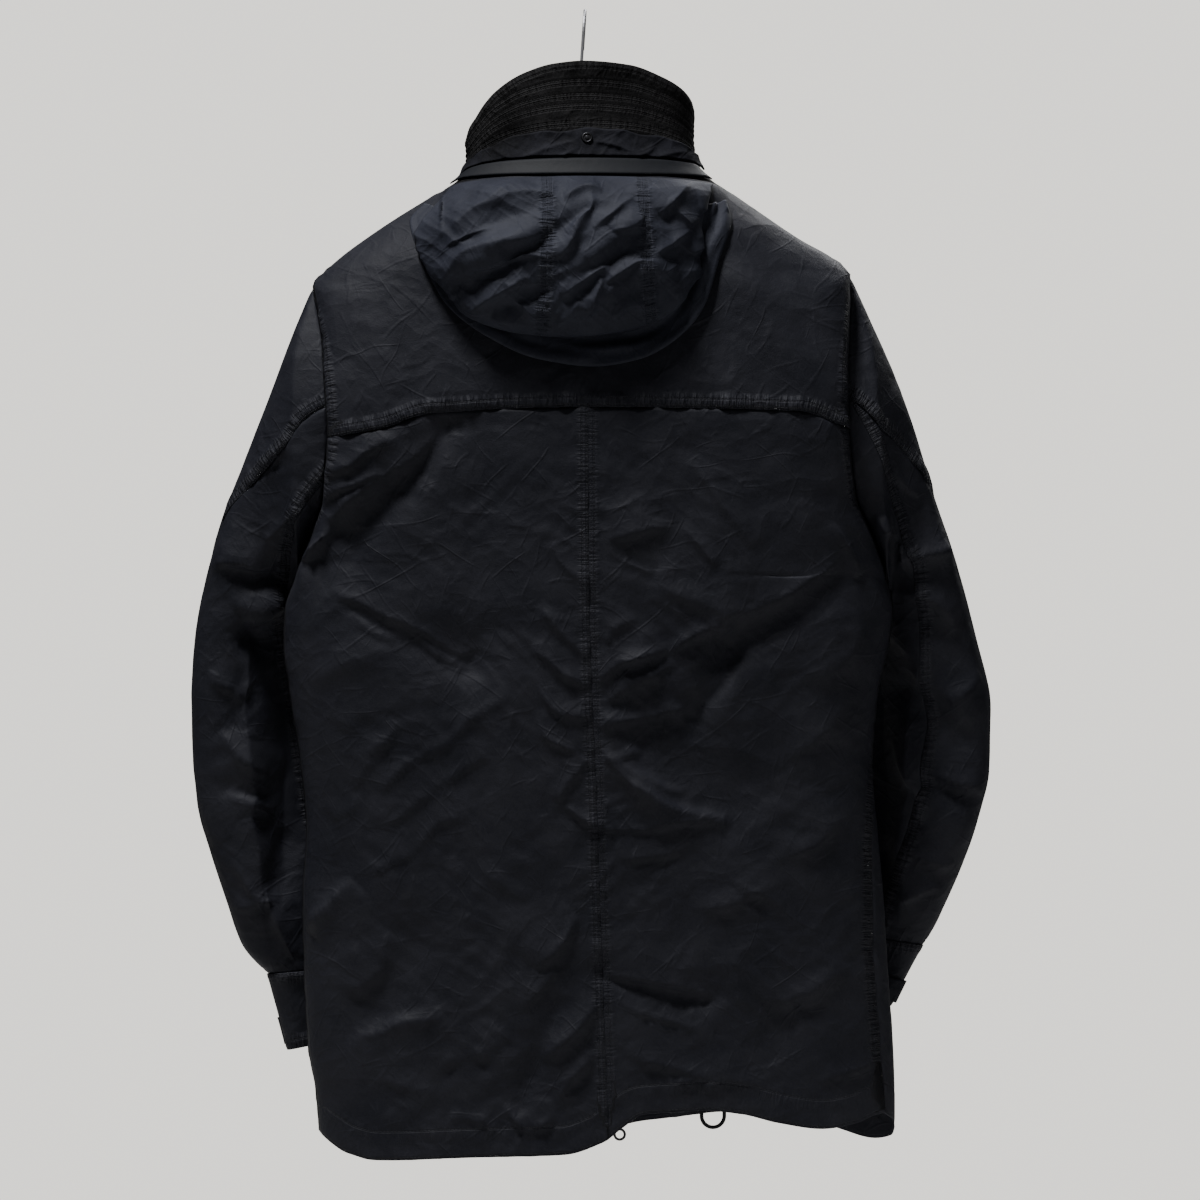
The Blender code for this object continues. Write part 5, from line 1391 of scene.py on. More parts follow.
def stitched_seam_group():
    """Two rows of stitches and the gathers between them, from a point's place at its seam."""
    group, start, end = group_with(
        "stitched_seam",
        [("Seam Place", "NodeSocketVector", None), ("Gathers", "NodeSocketFloat", 1.0)],
        [("Height", "NodeSocketFloat"), ("Rubbed", "NodeSocketFloat")],
    )
    split = group.nodes.new("ShaderNodeSeparateXYZ")
    group.links.new(start.outputs["Seam Place"], split.inputs[0])
    along, away, width = split.outputs
    spot = group.nodes.new("ShaderNodeCombineXYZ")
    group.links.new(times(group, along, 0.36), spot.inputs[0])
    group.links.new(times(group, away, 0.045), spot.inputs[1])
    gathers = noise_node(group, spot.outputs[0], 1.0, 2.0, 0.6)
    gathers = smooth_step(group, gathers, 0.34, 0.66, 0.0, 1.0)
    middle = math_node(group, "SUBTRACT", away, math_node(group, "SUBTRACT", width, GATHER_BAND / 2))
    reach = smooth_step(group, math_node(group, "ABSOLUTE", middle), 3.5, 9.0, 1.0, 0.0)
    # Narrow bands and the hem are gathered less
    narrow = smooth_step(group, width, 6.5, 8.5, 0.3, 1.0)
    hemmed = smooth_step(group, width, 17.0, 22.0, 1.0, 0.2)
    raised = times(group, gathers, reach, 2.2, narrow, hemmed, start.outputs["Gathers"])
    near = math_node(group, "SUBTRACT", away, NEAR_ROW)
    far = math_node(group, "SUBTRACT", away, math_node(group, "SUBTRACT", width, FAR_ROW))
    rows = (math_node(group, "ABSOLUTE", row) for row in (near, far))
    row = math_node(group, "MINIMUM", *rows)
    cycle = math_node(group, "FRACT", math_node(group, "DIVIDE", along, STITCH_LENGTH))
    cycle = math_node(group, "ABSOLUTE", math_node(group, "SUBTRACT", cycle, 0.5))
    dash = smooth_step(group, cycle, 0.3, 0.42, 1.0, 0.0)
    thread = times(group, smooth_step(group, row, 0.1, 0.55, 1.0, 0.0), dash, 0.5)
    sunk = times(group, smooth_step(group, row, 0.35, 1.3, 1.0, 0.0), -0.45)
    group.links.new(plus(group, raised, sunk, thread), end.inputs["Height"])
    share = math_node(group, "DIVIDE", away, width)
    inside = smooth_step(group, share, 0.95, 1.25, 1.0, 0.0)
    rubbed = math_node(group, "SUBTRACT", times(group, gathers, 1.3), 0.35)
    rubbed = times(group, inside, rubbed, hemmed)
    group.links.new(rubbed, end.inputs["Rubbed"])
    return group


def new_material(name):
    made = bpy.data.materials.new(name)
    made.use_nodes = True
    return made, made.node_tree, made.node_tree.nodes["Principled BSDF"]


def place_group(tree, group):
    node = tree.nodes.new("ShaderNodeGroup")
    node.node_tree = group
    return node


def attribute(tree, name, output):
    node = tree.nodes.new("ShaderNodeAttribute")
    node.attribute_name = name
    return node.outputs[output]


ALL_OVER_WEAR = 0.7  # how washed out the cloth is before any rubbing


def colour_between(tree, shader, mask, first, second):
    """The base colour goes from the first colour to the second by a mask."""
    mix = tree.nodes.new("ShaderNodeMix")
    mix.data_type = "RGBA"
    mix.inputs["A"].default_value, mix.inputs["B"].default_value = (*first, 1.0), (*second, 1.0)
    tree.links.new(mask, mix.inputs["Factor"])
    tree.links.new(mix.outputs["Result"], shader.inputs["Base Color"])


def colour_ramp(tree, shader, value, *stops):
    ramp = tree.nodes.new("ShaderNodeValToRGB")
    for element, (position, colour) in zip(ramp.color_ramp.elements, stops, strict=True):
        element.position, element.color = position, (*colour, 1)
    tree.links.new(value, ramp.inputs["Fac"])
    tree.links.new(ramp.outputs["Color"], shader.inputs["Base Color"])


def raised_by(tree, shader, height, strength, distance):
    bump = tree.nodes.new("ShaderNodeBump")
    bump.inputs["Strength"].default_value, bump.inputs["Distance"].default_value = strength, distance
    tree.links.new(height, bump.inputs["Height"])
    tree.links.new(bump.outputs["Normal"], shader.inputs["Normal"])


def cloth_material(name, dark, faded, roughness, crinkle, gathers, bump, amount, shine):
    """Cloth that fades from a dark to a washed colour where it is worn."""
    made, tree, shader = new_material(name)
    place = tree.nodes.new("ShaderNodeTexCoord").outputs["Object"]
    grain = place_group(tree, bpy.data.node_groups["cloth_grain"])
    grain.inputs["Crinkle"].default_value = crinkle
    tree.links.new(place, grain.inputs["Place"])
    seam = place_group(tree, bpy.data.node_groups["stitched_seam"])
    seam.inputs["Gathers"].default_value = gathers
    tree.links.new(attribute(tree, "seam_place", "Vector"), seam.inputs["Seam Place"])
    ridges = times(tree, grain.outputs["Ridges"], 0.2)
    worn = plus(tree, attribute(tree, "wear", "Fac"), ALL_OVER_WEAR, seam.outputs["Rubbed"], ridges)
    mask = times(tree, worn, grain.outputs["Fading"])
    mask = math_node(tree, "MULTIPLY", mask, amount, clamp=True)
    colour_between(tree, shader, mask, dark, faded)
    height = plus(tree, grain.outputs["Height"], seam.outputs["Height"])
    raised_by(tree, shader, height, bump, MM)
    shader.inputs["Roughness"].default_value = roughness
    shader.inputs["Specular IOR Level"].default_value = shine
    return made


def metal_material(name, colour, tarnished, roughness):
    """Metal with tarnish and fine scratches from its nodes."""
    made, tree, shader = new_material(name)
    place = tree.nodes.new("ShaderNodeTexCoord").outputs["Object"]
    patch = noise_node(tree, place, 260.0, 4.0)
    scratch = noise_node(tree, place, 2600.0, 3.0)
    colour_between(tree, shader, patch, colour, tarnished)
    rough = plus(tree, times(tree, scratch, 0.25), roughness - 0.1)
    tree.links.new(rough, shader.inputs["Roughness"])
    raised_by(tree, shader, scratch, 0.2, 0.2 * MM)
    shader.inputs["Metallic"].default_value = 1.0
    return made


def wood_material(name):
    """Varnished beech, with its grain along the arms."""
    made, tree, shader = new_material(name)
    place = tree.nodes.new("ShaderNodeTexCoord").outputs["Object"]
    turn = tree.nodes.new("ShaderNodeMapping")
    turn.inputs["Scale"].default_value = (6.0, 90.0, 90.0)
    tree.links.new(place, turn.inputs["Vector"])
    grain = noise_node(tree, turn.outputs["Vector"], 3.0, 6.0, 0.65)
    colour_ramp(tree, shader, grain, (0.35, (0.2, 0.1, 0.045)), (0.7, (0.42, 0.25, 0.12)))
    raised_by(tree, shader, grain, 0.25, 0.4 * MM)
    shader.inputs["Roughness"].default_value = 0.42
    shader.inputs["Coat Weight"].default_value = 0.25
    return made


def finishes():
    """Every finish by name, made once."""
    if "cloth_grain" not in bpy.data.node_groups:
        cloth_grain_group()
        stitched_seam_group()
    colours = bpy.context.scene.parka_colours
    # Each cloth's two colours, then its roughness, crinkle, gathers, bump, fading and shine
    rows = {
        "shell": (colours.shell, colours.shell_faded, 0.68, 1.0, 0.7, 1.0, 0.9, 0.18),
        "hood": (colours.hood, colours.hood_faded, 0.72, 1.0, 1.4, 1.0, 0.8, 0.18),
        "collar": (colours.collar, colours.collar_faded, 0.85, 1.2, 0.7, 1.0, 1.0, 0.05),
        "flap": (colours.collar, colours.shell_faded, 0.8, 0.8, 0.8, 1.0, 1.3, 0.1),
        "tape": (colours.tape, colours.tape_worn, 0.62, 0.05, 0.0, 0.5, 0.5, 0.12),
        "zip_tape": (colours.zip_tape, colours.shell_faded, 0.7, 0.1, 0.3, 0.8, 0.4, 0.18),
        "cord": (colours.cord, colours.shell_faded, 0.7, 0.05, 0.0, 0.8, 0.4, 0.18),
    }
    made = {}
    for name, row in rows.items():
        label = f"parka_{name}"
        made[name] = bpy.data.materials.get(label) or cloth_material(label, *row)
    for name, row in {
        "gunmetal": ((0.06, 0.06, 0.065), (0.02, 0.02, 0.022), 0.42),
        "bright_wire": ((0.4, 0.4, 0.42), (0.25, 0.25, 0.26), 0.5),
    }.items():
        made[name] = bpy.data.materials.get(name) or metal_material(name, *row)
    made["wood"] = bpy.data.materials.get("hanger_wood") or wood_material("hanger_wood")
    return made


def settle(piece, nodes, body="parka"):
    """A finished piece takes its nodes' place and rides on their body."""
    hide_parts(*nodes)
    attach(piece, body)
    return piece


# Panels of the shell that aren't shell cloth: their finish and the record's slot
OTHER_CLOTH = {
    "collar_band": ("collar", "faded_cloth"),
    "zip_tape_left": ("zip_tape", "zip_tape"),
    "zip_tape_right": ("zip_tape", "zip_tape"),
}


# ---------------------------------------------------------------- hard parts, sizes in millimetres


def block(size, place, ease, segments=3):
    """A block with its edges rounded over."""
    bpy.ops.object.select_all(action="DESELECT")
    bpy.ops.mesh.primitive_cube_add(size=1, location=[p * MM for p in place])
    made = bpy.context.object
    made.scale = [s * MM for s in size]
    bpy.ops.object.transform_apply(location=True, rotation=True, scale=True)
    bpy.ops.object.mode_set(mode="EDIT")
    bpy.ops.mesh.select_all(action="SELECT")
    bpy.ops.mesh.bevel(offset=ease * MM, segments=segments, affect="EDGES")
    bpy.ops.object.mode_set(mode="OBJECT")
    return made


def ring(radius, wire, place, turn=(0, 0, 0)):
    bpy.ops.object.select_all(action="DESELECT")
    bpy.ops.mesh.primitive_torus_add(
        major_radius=radius * MM, minor_radius=wire * MM, major_segments=40, minor_segments=14,
        location=[p * MM for p in place], rotation=turn,
    )
    return bpy.context.object


def turned(radii, high, place=(0, 0, 0), turn=(0, 0, 0)):
    """A turned pin or cap, with the rounded ends that a lathe leaves."""
    bpy.ops.object.select_all(action="DESELECT")
    bpy.ops.mesh.primitive_cone_add(
        vertices=40, radius1=radii[0] * MM, radius2=radii[1] * MM, depth=high * MM,
        location=[p * MM for p in place], rotation=turn,
    )
    bpy.ops.object.mode_set(mode="EDIT")
    bpy.ops.mesh.select_all(action="SELECT")
    bpy.ops.mesh.bevel(offset=min(radii[1], high) * 0.22 * MM, segments=2, affect="EDGES")
    bpy.ops.object.mode_set(mode="OBJECT")
    return bpy.context.object


def joined(name, parts, finish, place, facing=None):
    """The parts as one piece at a place in metres, its Z axis turned to where it faces."""
    bpy.ops.object.select_all(action="DESELECT")
    for part in parts:
        part.select_set(True)
    bpy.context.view_layer.objects.active = parts[0]
    bpy.ops.object.join()
    made = bpy.context.object
    bpy.ops.object.transform_apply(location=True, rotation=True, scale=True)
    made.location = place
    if facing is not None:
        made.rotation_euler = facing.to_track_quat("Z", "Y").to_euler()
    bpy.ops.object.transform_apply(location=True, rotation=True, scale=True)
    bpy.ops.object.shade_smooth_by_angle(angle=math.radians(35))
    made.name = made.data.name = name
    made.data.materials.clear()
    made.data.materials.append(finish)
    return made


# ---------------------------------------------------------------- sizes and colours


def colour_property(name, description, value):
    return bpy.props.FloatVectorProperty(
        name=name, description=description, default=value, subtype="COLOR", size=3, min=0, max=1
    )


class ParkaColours(bpy.types.PropertyGroup):
    """The colours of the parka's cloth and trim."""

    shell: colour_property("Shell", "Unworn shell cloth", (0.0035, 0.0042, 0.0082))
    shell_faded: colour_property(
        "Faded shell", "Shell cloth where it has washed out", (0.0148, 0.0153, 0.021)
    )
    hood: colour_property("Hood", "Thin cloth of the hood and flap", (0.0075, 0.0088, 0.0155))
    hood_faded: colour_property("Faded hood", "Hood cloth where it has washed out", (0.02, 0.022, 0.032))
    collar: colour_property("Collar", "Collar cloth", (0.0008, 0.0008, 0.0009))
    collar_faded: colour_property(
        "Faded collar", "Collar cloth where it has washed out", (0.0175, 0.0172, 0.018)
    )
    tape: colour_property("Tape", "Grey sealing tape", (0.0072, 0.008, 0.0102))
    tape_worn: colour_property("Worn tape", "Sealing tape where it is rubbed", (0.013, 0.014, 0.0165))
    zip_tape: colour_property("Zip tape", "Woven tape of the zip", (0.009, 0.009, 0.011))
    cord: colour_property("Drawcord", "Hem drawcord", (0.006, 0.006, 0.007))


class ParkaStage(bpy.types.PropertyGroup):
    """The camera and the room."""

    camera_away: bpy.props.FloatProperty(
        name="Camera distance", description="From the hanger to the camera", default=5.0, unit="LENGTH"
    )
    frame_width: bpy.props.FloatProperty(
        name="Frame width", description="Width of the view at the hanger", default=0.996, unit="LENGTH"
    )
    key_power: bpy.props.FloatProperty(
        name="Key light", description="Power of the large soft light", default=132.0, unit="POWER"
    )
    room_light: bpy.props.FloatProperty(
        name="Room light", description="Strength of the light from all round", default=0.055
    )


# ---------------------------------------------------------------- operators


VIEW_MIDDLE = (0.01245, -0.488)  # the x and z that the camera looks at, in metres
FLOOR_RADIUS, FLOOR_LEVEL = 1.6, -1.15
WALL_COLOUR, WALL_STRENGTH = (0.83, 0.808, 0.762, 1), 1.75
# Soft lights: share of the key's power, size and place, in metres
LIGHTS = {
    "key": (1.0, 0.5, (-0.75, -0.8, 2.1)),
    "fill": (0.05, 1.6, (2.2, -1.4, 0.3)),
    "back": (0.4, 1.4, (0.8, 1.7, 1.3)),
}
LIGHTS_AIM = Vector((0, 0, -0.5))


class PARKA_OT_stage(bpy.types.Operator):
    """Camera, floor and soft lights"""

    bl_idname = "parka.stage"
    bl_label = "Stage"

    def execute(self, context):
        stage = context.scene.parka_stage
        camera_data = bpy.data.cameras.new("camera")
        camera_data.angle = 2 * math.atan(stage.frame_width / 2 / stage.camera_away)
        camera_data.clip_end = 50
        camera = bpy.data.objects.new("camera", camera_data)
        context.collection.objects.link(camera)
        camera.location = (VIEW_MIDDLE[0], -stage.camera_away, VIEW_MIDDLE[1])
        camera.rotation_euler = (math.pi / 2, 0, 0)
        context.scene.camera = camera

        bpy.ops.object.select_all(action="DESELECT")
        bpy.ops.mesh.primitive_circle_add(
            vertices=96, radius=FLOOR_RADIUS, fill_type="NGON", location=(0, 0, FLOOR_LEVEL)
        )
        floor = context.object
        floor.name = "floor"
        bpy.ops.object.transform_apply(location=True, rotation=True, scale=True)
        made, tree, shader = new_material("floor_paint")
        place = tree.nodes.new("ShaderNodeTexCoord").outputs["Object"]
        speck = noise_node(tree, place, 40.0, 3.0)
        colour_ramp(tree, shader, speck, (0, (0.66, 0.65, 0.63)), (1, (0.74, 0.73, 0.71)))
        shader.inputs["Roughness"].default_value = 0.9
        floor.data.materials.append(made)

        world = bpy.data.worlds.new("room")
        context.scene.world = world
        world.use_nodes = True
        tree = world.node_tree
        room = tree.nodes["Background"]
        room.inputs["Color"].default_value = (0.8, 0.8, 0.8, 1)
        room.inputs["Strength"].default_value = stage.room_light
        wall = tree.nodes.new("ShaderNodeBackground")
        wall.inputs["Color"].default_value = WALL_COLOUR
        wall.inputs["Strength"].default_value = WALL_STRENGTH
        sight = tree.nodes.new("ShaderNodeLightPath")
        choose = tree.nodes.new("ShaderNodeMixShader")
        tree.links.new(sight.outputs["Is Camera Ray"], choose.inputs[0])
        tree.links.new(room.outputs[0], choose.inputs[1])
        tree.links.new(wall.outputs[0], choose.inputs[2])
        tree.links.new(choose.outputs[0], tree.nodes["World Output"].inputs["Surface"])
        for name, (share, size, place) in LIGHTS.items():
            light_data = bpy.data.lights.new(name, "AREA")
            light_data.energy, light_data.size = stage.key_power * share, size
            light = bpy.data.objects.new(name, light_data)
            context.collection.objects.link(light)
            light.location = place
            aim = LIGHTS_AIM - Vector(place)
            light.rotation_euler = aim.to_track_quat("-Z", "Y").to_euler()
        return {"FINISHED"}


class PARKA_OT_drawcord(bpy.types.Operator):
    """The loop of drawcord under the front hem"""

    bl_idname = "parka.drawcord"
    bl_label = "Hem drawcord"

    def execute(self, context):
        x, half = CORD_LOOP["x"], CORD_LOOP["half"]
        turn = CORD_LOOP["bottom"] - half
        side = np.linspace(CORD_LOOP["top"], turn, 9)[:-1]
        bend = arc((x, turn), half, 180, 360, 21)
        path = [(x - half, d) for d in side] + bend + [(x + half, d) for d in side[::-1]]
        across, drop = (np.array(c) for c in zip(*path, strict=True))
        lift = -(SHELL + CLEAR + CORD_RADIUS + 0.2)
        y = lifted_y(across, np.minimum(drop, CORD_LOOP["bottom"] - 16), "front", lift)
        points = to_world(np.stack([across, np.full_like(y, y.min()), drop], axis=1))
        curve = bpy.data.curves.new("drawcord", "CURVE")
        curve.dimensions = "3D"
        curve.bevel_depth, curve.bevel_resolution, curve.use_fill_caps = CORD_RADIUS * MM, 5, True
        spline = curve.splines.new("POLY")
        spline.points.add(len(points) - 1)
        for spot, place in zip(spline.points, points, strict=True):
            spot.co = (*place, 1.0)
        curve.materials.append(finishes()["cord"])
        cord = bpy.data.objects.new("drawcord", curve)
        context.collection.objects.link(cord)
        settle(cord, ["hem_cord"])
        return {"FINISHED"}


class PARKA_OT_shell(bpy.types.Operator):
    """Yoke, back, fronts, sleeves, cuffs, collar and zip tapes"""

    bl_idname = "parka.shell"
    bl_label = "Shell"

    def execute(self, context):
        surface, normals, panels, seams, wear, points = creased_shell()
        made = finishes()
        for name, triangles in panels.items():
            used = np.unique(triangles)
            height, found = relief(name, points[used], seams)
            dressed, places = surface.copy(), np.zeros((len(surface), 3))
            dressed[used] += normals[used] * height[:, None] * MM
            places[used] = found
            kind, slot_name = OTHER_CLOTH.get(name, ("shell", "shell_cloth"))
            facing = vertex_normals(dressed, triangles)
            panel = add_panel(
                f"{name}_cloth", dressed, facing, triangles, SHELL, made[kind], wear, places
            )
            settle(panel, [name])
        return {"FINISHED"}


class PARKA_OT_hood(bpy.types.Operator):
    """The hood's three panels and its brim band"""

    bl_idname = "parka.hood"
    bl_label = "Hood"

    def execute(self, context):
        share = refine(np.linspace(0, 1, HOOD_ROWS + 1), HOOD_DOWN)[:, None]
        edges = np.concatenate(
            [np.linspace(k, k + 1, n + 1)[(k > 0) :] for k, n in enumerate(HOOD_CELLS)]
        )
        across = refine(edges, HOOD_FINE)[None]
        points = hood_point(across, share)
        rows, columns = points.shape[:2]
        ids = np.arange(rows * columns).reshape(rows, columns)
        cells, flat = grid_triangles(ids), points.reshape(-1, 3)
        normals = vertex_normals(to_world(flat), cells.reshape(-1, 3))
        fine = crumple(flat, HOOD_SEED)
        raised = fine * HOOD_WRINKLE_HEIGHT + HOOD_LIFT * drapes_at(HOOD_DRAPES, flat[:, 0], flat[:, 2])
        places = np.tile((*NO_SEAM[:2], HOOD_BAND), (len(flat), 1))
        for k, panel_edge in enumerate((HOOD_CELLS[0], HOOD_CELLS[0] + HOOD_CELLS[1])):
            seam = flat[ids[:, panel_edge * HOOD_FINE]]
            away, along = seam_places(seam, flat)
            raised = raised + seam_height(away, 0.4, HOOD_BAND)
            raised = raised + HOOD_PUCKER * puckers(away * 1.5, along * 1.5, 7.0, 60 + k)
            nearer = away < places[:, 1]
            places[nearer, 0], places[nearer, 1] = along[nearer] + 300 * k, away[nearer]
        calm = np.clip(share * 12, 0, 1) * np.clip((1 - share) * 14, 0.15, 1)
        raised = raised * (calm * np.ones_like(across)).ravel()
        surface = to_world(flat) + normals * raised[:, None] * MM
        normals = vertex_normals(surface, cells.reshape(-1, 3))
        wear = np.clip(0.55 + 0.3 * fine, 0, 1)
        made = finishes()
        edge = 0
        for name, count in zip(("hood_left", "hood_centre", "hood_right"), HOOD_CELLS, strict=True):
            panel = cells[:, edge * HOOD_FINE : (edge + count) * HOOD_FINE].reshape(-1, 3)
            piece = add_panel(
                f"{name}_cloth", surface, normals, panel, HOOD_WALL, made["hood"], wear, places
            )
            settle(piece, [name])
            edge += count
        along = refine(np.arange(float(len(BRIM["x"]))), 14)[None]
        inward = np.linspace(0, 1, 15)[:, None]
        points = brim_point(along, inward)
        low = np.clip((points[..., 2] - 190) / 90, 0, 1)
        points[..., 1] -= BRIM_DROOP * low * (1 - 0.5 * inward)
        wave = 0.8 * np.sin(inward * 9 + 1.5 * np.sin(along * 1.7)) + 0.5 * np.sin(inward * 17 + along)
        wave = wave * (1 + 1.2 * np.clip(along - 5, 0, 1))
        height = wave * np.sin(np.pi * inward) + 0.4 * crumple(points, BRIM_SEED) * np.sin(np.pi * inward)
        wear = wave * 0.3 + 0.5
        brim = fine_sheet(
            "hood_brim_cloth", points, BRIM_WALL, made["hood"], height=height, wear=wear
        )
        settle(brim, ["hood_brim"])
        return {"FINISHED"}


class PARKA_OT_collar_trim(bpy.types.Operator):
    """The collar's flap, sealing tape and snap"""

    bl_idname = "parka.collar_trim"
    bl_label = "Collar trim"

    def execute(self, context):
        made = finishes()
        for name, strip in STRIPS.items():
            (start, stop), (low, high) = strip["round"], strip["up"]
            taped = name == "neck_tape"
            turn = np.linspace(start, stop, 180)[None]
            down = np.linspace(0, 1, 10 if taped else 22)[:, None]
            turn, down = np.broadcast_arrays(turn, down)
            sag = STRIP_SAG * np.clip(1 - (turn / STRIP_SAG_HALF) ** 2, 0, 1)
            low, high = low - sag, high - sag * (1 if taped else -0.4)
            if not taped:
                high = high + 0.012 * np.sin(turn / 6.5) + 0.008 * np.sin(turn / 3.1 + 1)
            up = high + (low - high) * down
            points = moved_out(collar_point, turn, up, CLEAR + strip["wall"] + STRIP_STAND, (0.5, 0.005))
            kind, slot_name = ("tape", "sealing_tape") if taped else ("flap", "thin_cloth")
            height = (0.1 if taped else 0.7) * crumple(points, STRIP_SEED)
            if not taped:
                height += drapes_at(FLAP_DRAPES, points[..., 0], points[..., 2])
            piece = fine_sheet(f"{name}_cloth", points, strip["wall"], made[kind], height=height)
            settle(piece, [name])
        spot = np.array([SNAP_ANGLE]), np.array([SNAP_SHARE])
        seat = CLEAR * 2 + STRIPS["collar_flap"]["wall"]
        base, top = (
            Vector(to_world(moved_out(collar_point, *spot, lift))[0])
            for lift in (seat, seat + SNAP_HEIGHT)
        )
        cap = turned((SNAP_RADIUS, SNAP_RADIUS * 0.86), SNAP_HEIGHT * 0.8)
        parts = [cap, ring(SNAP_RADIUS * 0.72, 0.7, (0, 0, SNAP_HEIGHT * 0.4))]
        parts.append(turned((1.9, 1.5), 0.9, (0, 0, SNAP_HEIGHT * 0.45)))
        snap = joined("flap_snap_stud", parts, made["gunmetal"], place=(base + top) / 2, facing=top - base)
        settle(snap, ["flap_snap"])
        return {"FINISHED"}


class PARKA_OT_cuff_tabs(bpy.types.Operator):
    """The straps across the cuffs"""

    bl_idname = "parka.cuff_tabs"
    bl_label = "Cuff tabs"

    def execute(self, context):
        made = finishes()
        for side in ("left", "right"):
            around, ring = np.meshgrid(refine(TAB_AROUND[side], 8), np.linspace(*TAB_RINGS, 10))
            ends = [cuff_point(side, ring, at + 0 * around) for at in (0, SLEEVE_AROUND / 2)]
            axis = (sum(ends) / 2)[..., :2].mean((0, 1))

            def cuff(u, v, side=side):
                return cuff_point(side, v, u)

            lift = CLEAR + TAB_WALL + 0.6
            points = moved_out(cuff, around, ring, lift, (0.1, 0.05), axis)
            if side == "right":
                run = points[:, -1] - points[:, -2]
                run /= np.linalg.norm(run, axis=-1, keepdims=True)
                more = [points[:, -1] + run * TAB_PAST * k / 4 for k in range(1, 5)]
                points = np.concatenate([points, np.stack(more, axis=1)], axis=1)
            height = 0.25 * crumple(points, TAB_SEED)
            name = f"{side}_cuff_tab"
            piece = fine_sheet(f"{name}_cloth", points, TAB_WALL, made["shell"], axis, height=height)
            settle(piece, [name])
        return {"FINISHED"}


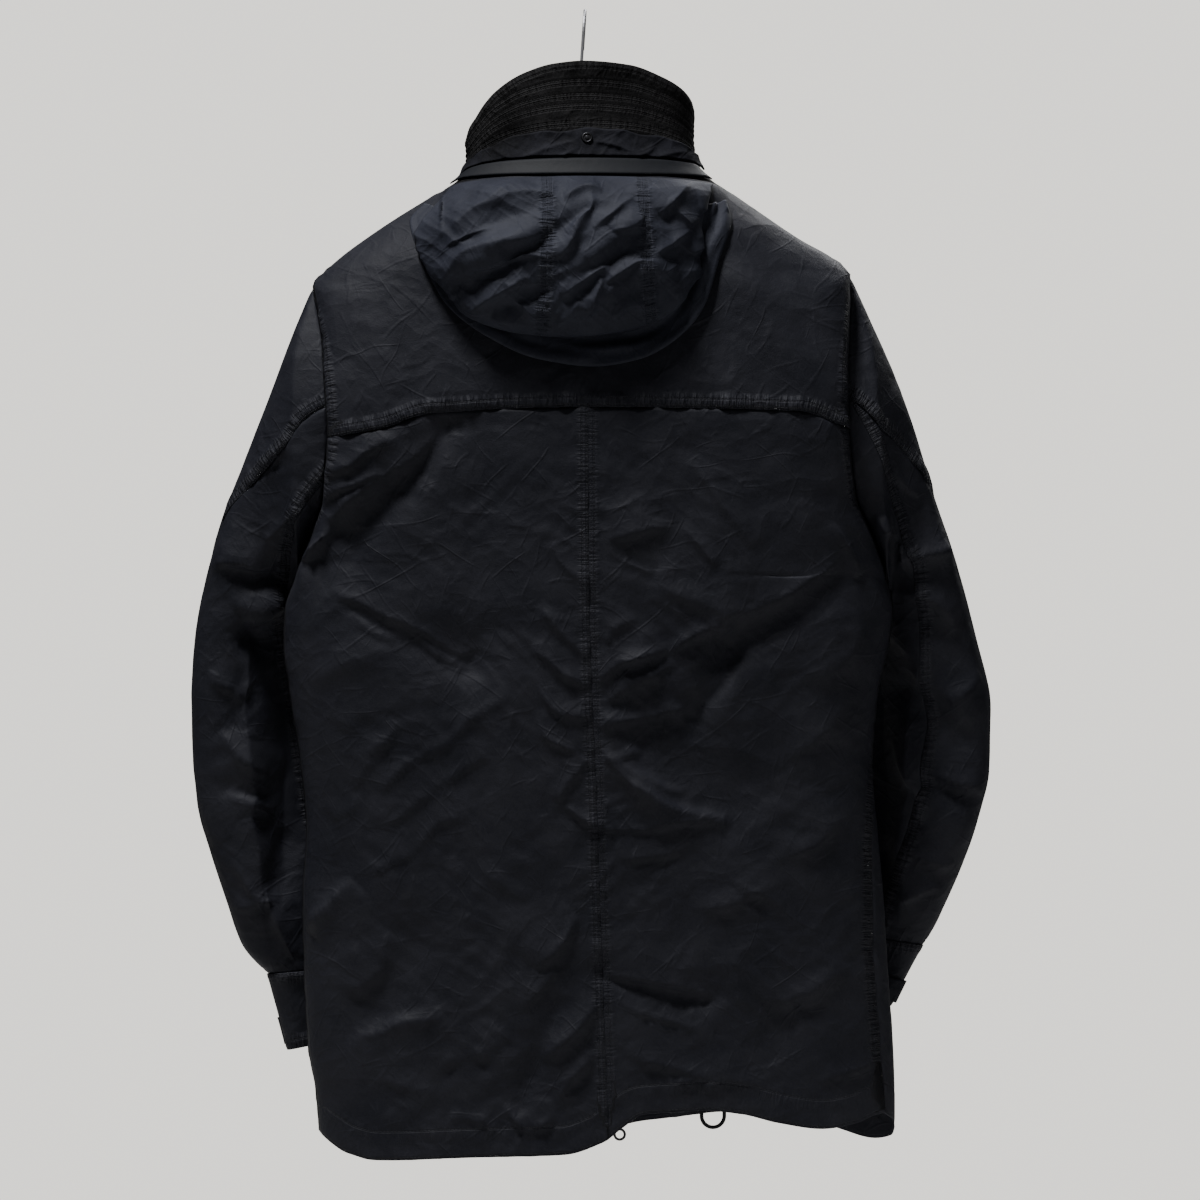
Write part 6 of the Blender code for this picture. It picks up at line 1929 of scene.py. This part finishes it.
class PARKA_OT_zip(bpy.types.Operator):
    """Zip teeth, sliders and pulls"""

    bl_idname = "parka.zip"
    bl_label = "Zip"

    def execute(self, context):
        metal = finishes()["gunmetal"]
        tooth = block((TOOTH_WIDE, CHAIN_WALL, TOOTH_HIGH), (0, 0, 0), TOOTH_EASE, segments=1)
        corners = np.array([vertex.co for vertex in tooth.data.vertices]) / MM
        faces = np.array([loop.vertex_index for loop in tooth.data.loops])
        sizes = [len(face.vertices) for face in tooth.data.polygons]
        bpy.data.objects.remove(tooth)
        ends = UPPER_SLIDER + SLIDER_HIGH / 2 + 1, LOWER_SLIDER - SLIDER_HIGH / 2 - 1
        points, loops = [], []
        for side in (-1, 1):
            for drop in np.arange(ends[0] + (side > 0) * TOOTH_PITCH / 2, ends[1], TOOTH_PITCH):
                spot, run = on_zip(drop), on_zip(drop + 1) - on_zip(drop - 1)
                run /= np.linalg.norm(run)
                out = np.cross((1.0, 0.0, 0.0), run)
                out *= math.copysign(1, out[1])
                spot = spot + out * (CLEAR * 1.5 + CHAIN_WALL / 2)
                spot = spot + (side * (CHAIN_HALF - TOOTH_WIDE / 2), 0, 0)
                loops.append(faces + len(points) * len(corners))
                points.append(spot + corners @ np.array([(1, 0, 0), out, -run]))
        mesh = bpy.data.meshes.new("zip_teeth")
        starts = np.concatenate([[0], np.cumsum(sizes * len(points))])
        whole = np.concatenate(loops)
        mesh.from_pydata(
            to_world(np.concatenate(points)).tolist(), [],
            [whole[a:b].tolist() for a, b in zip(starts[:-1], starts[1:], strict=True)],
        )
        mesh.materials.append(metal)
        teeth = bpy.data.objects.new("zip_teeth", mesh)
        context.collection.objects.link(teeth)
        settle(teeth, ["zip_chain"])
        for name, drop in (("lower", LOWER_SLIDER), ("upper", UPPER_SLIDER)):
            self.slider_and_pull(name, drop, metal)
        return {"FINISHED"}

    def slider_and_pull(self, name, drop, metal):
        back = CLEAR * 1.5
        place = Vector(to_world(on_zip(drop) + (0, back + SLIDER_THICK + BAIL_OFF, BAIL_DOWN)))
        y = -BAIL_OFF - SLIDER_THICK / 2
        plate = (2 * SLIDER_HALF, SLIDER_THICK * 0.36, SLIDER_HIGH)
        parts = [block(plate, (0, y + SLIDER_THICK * 0.32, BAIL_DOWN), 0.6)]
        for side in (-1, 1):
            flange = (1.2, SLIDER_THICK * 0.9, SLIDER_HIGH * 0.8)
            parts.append(block(flange, (side * (SLIDER_HALF - 0.7), y, BAIL_DOWN), 0.4))
        parts.append(block((2.2, SLIDER_THICK * 0.9, 3.2), (0, y, BAIL_DOWN + SLIDER_HIGH / 2 - 2), 0.4))
        parts.append(ring(BAIL_RADIUS, BAIL_WIRE * 0.9, (0, 0, 0), (0, math.pi / 2, 0)))
        slider = joined(f"zip_slider_{name}_body", parts, metal, place)
        settle(slider, [f"zip_slider_{name}"])

        wide = 2 * (PULL_GAP + PULL_ARM)
        parts = [turned((PULL_BAR / 2, PULL_BAR / 2), wide - 0.4, (0, 0, 0), (0, math.pi / 2, 0))]
        for side in (-1, 1):
            middle = (side * (PULL_GAP + PULL_ARM / 2), 0, -PULL_FORK / 2)
            parts.append(block((PULL_ARM, PULL_BAR, PULL_FORK + 0.6), middle, 0.3))
        parts.append(block((wide, PULL_BAR + 0.1, PULL_BRIDGE), (0, 0, -PULL_FORK), 0.35))
        neck = PULL_LONG - PULL_EYE_RADIUS - PULL_FORK
        parts.append(block((PULL_NECK, PULL_BAR + 0.2, neck + 2), (0, 0, -PULL_FORK - neck / 2), 0.4))
        rib = (PULL_NECK * 0.5, PULL_BAR + 0.5, neck * 0.6)
        parts.append(block(rib, (0, 0, -PULL_FORK - neck / 2), 0.3))
        parts.append(ring(PULL_EYE_RADIUS, PULL_EYE_WIRE, (0, 0, -PULL_LONG), (math.pi / 2, 0, 0)))
        pull = joined(f"zip_pull_{name}_tab", parts, metal, place)
        settle(pull, [f"zip_pull_{name}"], f"pull_{name}")


class PARKA_OT_hanger(bpy.types.Operator):
    """The hanger's arms and hook"""

    bl_idname = "parka.hanger"
    bl_label = "Hanger"

    def execute(self, context):
        made = finishes()
        for name, kind in (("hanger_arms", "wood"), ("hanger_hook", "bright_wire")):
            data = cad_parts[name].data
            data.materials.clear()
            data.materials.append(made[kind])
        return {"FINISHED"}


class PARKA_PT_pieces(bpy.types.Panel):
    """The parka's pieces, its colours and the stage"""

    bl_label = "Parka"
    bl_idname = "PARKA_PT_pieces"
    bl_space_type = "VIEW_3D"
    bl_region_type = "UI"
    bl_category = "Parka"

    def draw(self, context):
        for name in STEPS:
            self.layout.operator(f"parka.{name}")
        for group in (context.scene.parka_colours, context.scene.parka_stage):
            for name in group.__annotations__:
                self.layout.prop(group, name)


STEPS = ("stage", "drawcord", "shell", "hood", "collar_trim", "cuff_tabs", "zip", "hanger")
CLASSES = (
    ParkaColours, ParkaStage, PARKA_OT_stage, PARKA_OT_drawcord, PARKA_OT_shell, PARKA_OT_hood,
    PARKA_OT_collar_trim, PARKA_OT_cuff_tabs, PARKA_OT_zip, PARKA_OT_hanger, PARKA_PT_pieces,
)


def register():
    for made in CLASSES:
        bpy.utils.register_class(made)
    bpy.types.Scene.parka_colours = bpy.props.PointerProperty(type=ParkaColours)
    bpy.types.Scene.parka_stage = bpy.props.PointerProperty(type=ParkaStage)


def unregister():
    del bpy.types.Scene.parka_colours
    del bpy.types.Scene.parka_stage
    for made in reversed(CLASSES):
        bpy.utils.unregister_class(made)


def main():
    register()
    for name in STEPS:
        getattr(bpy.ops.parka, name)()


if __name__ == "__main__":
    main()
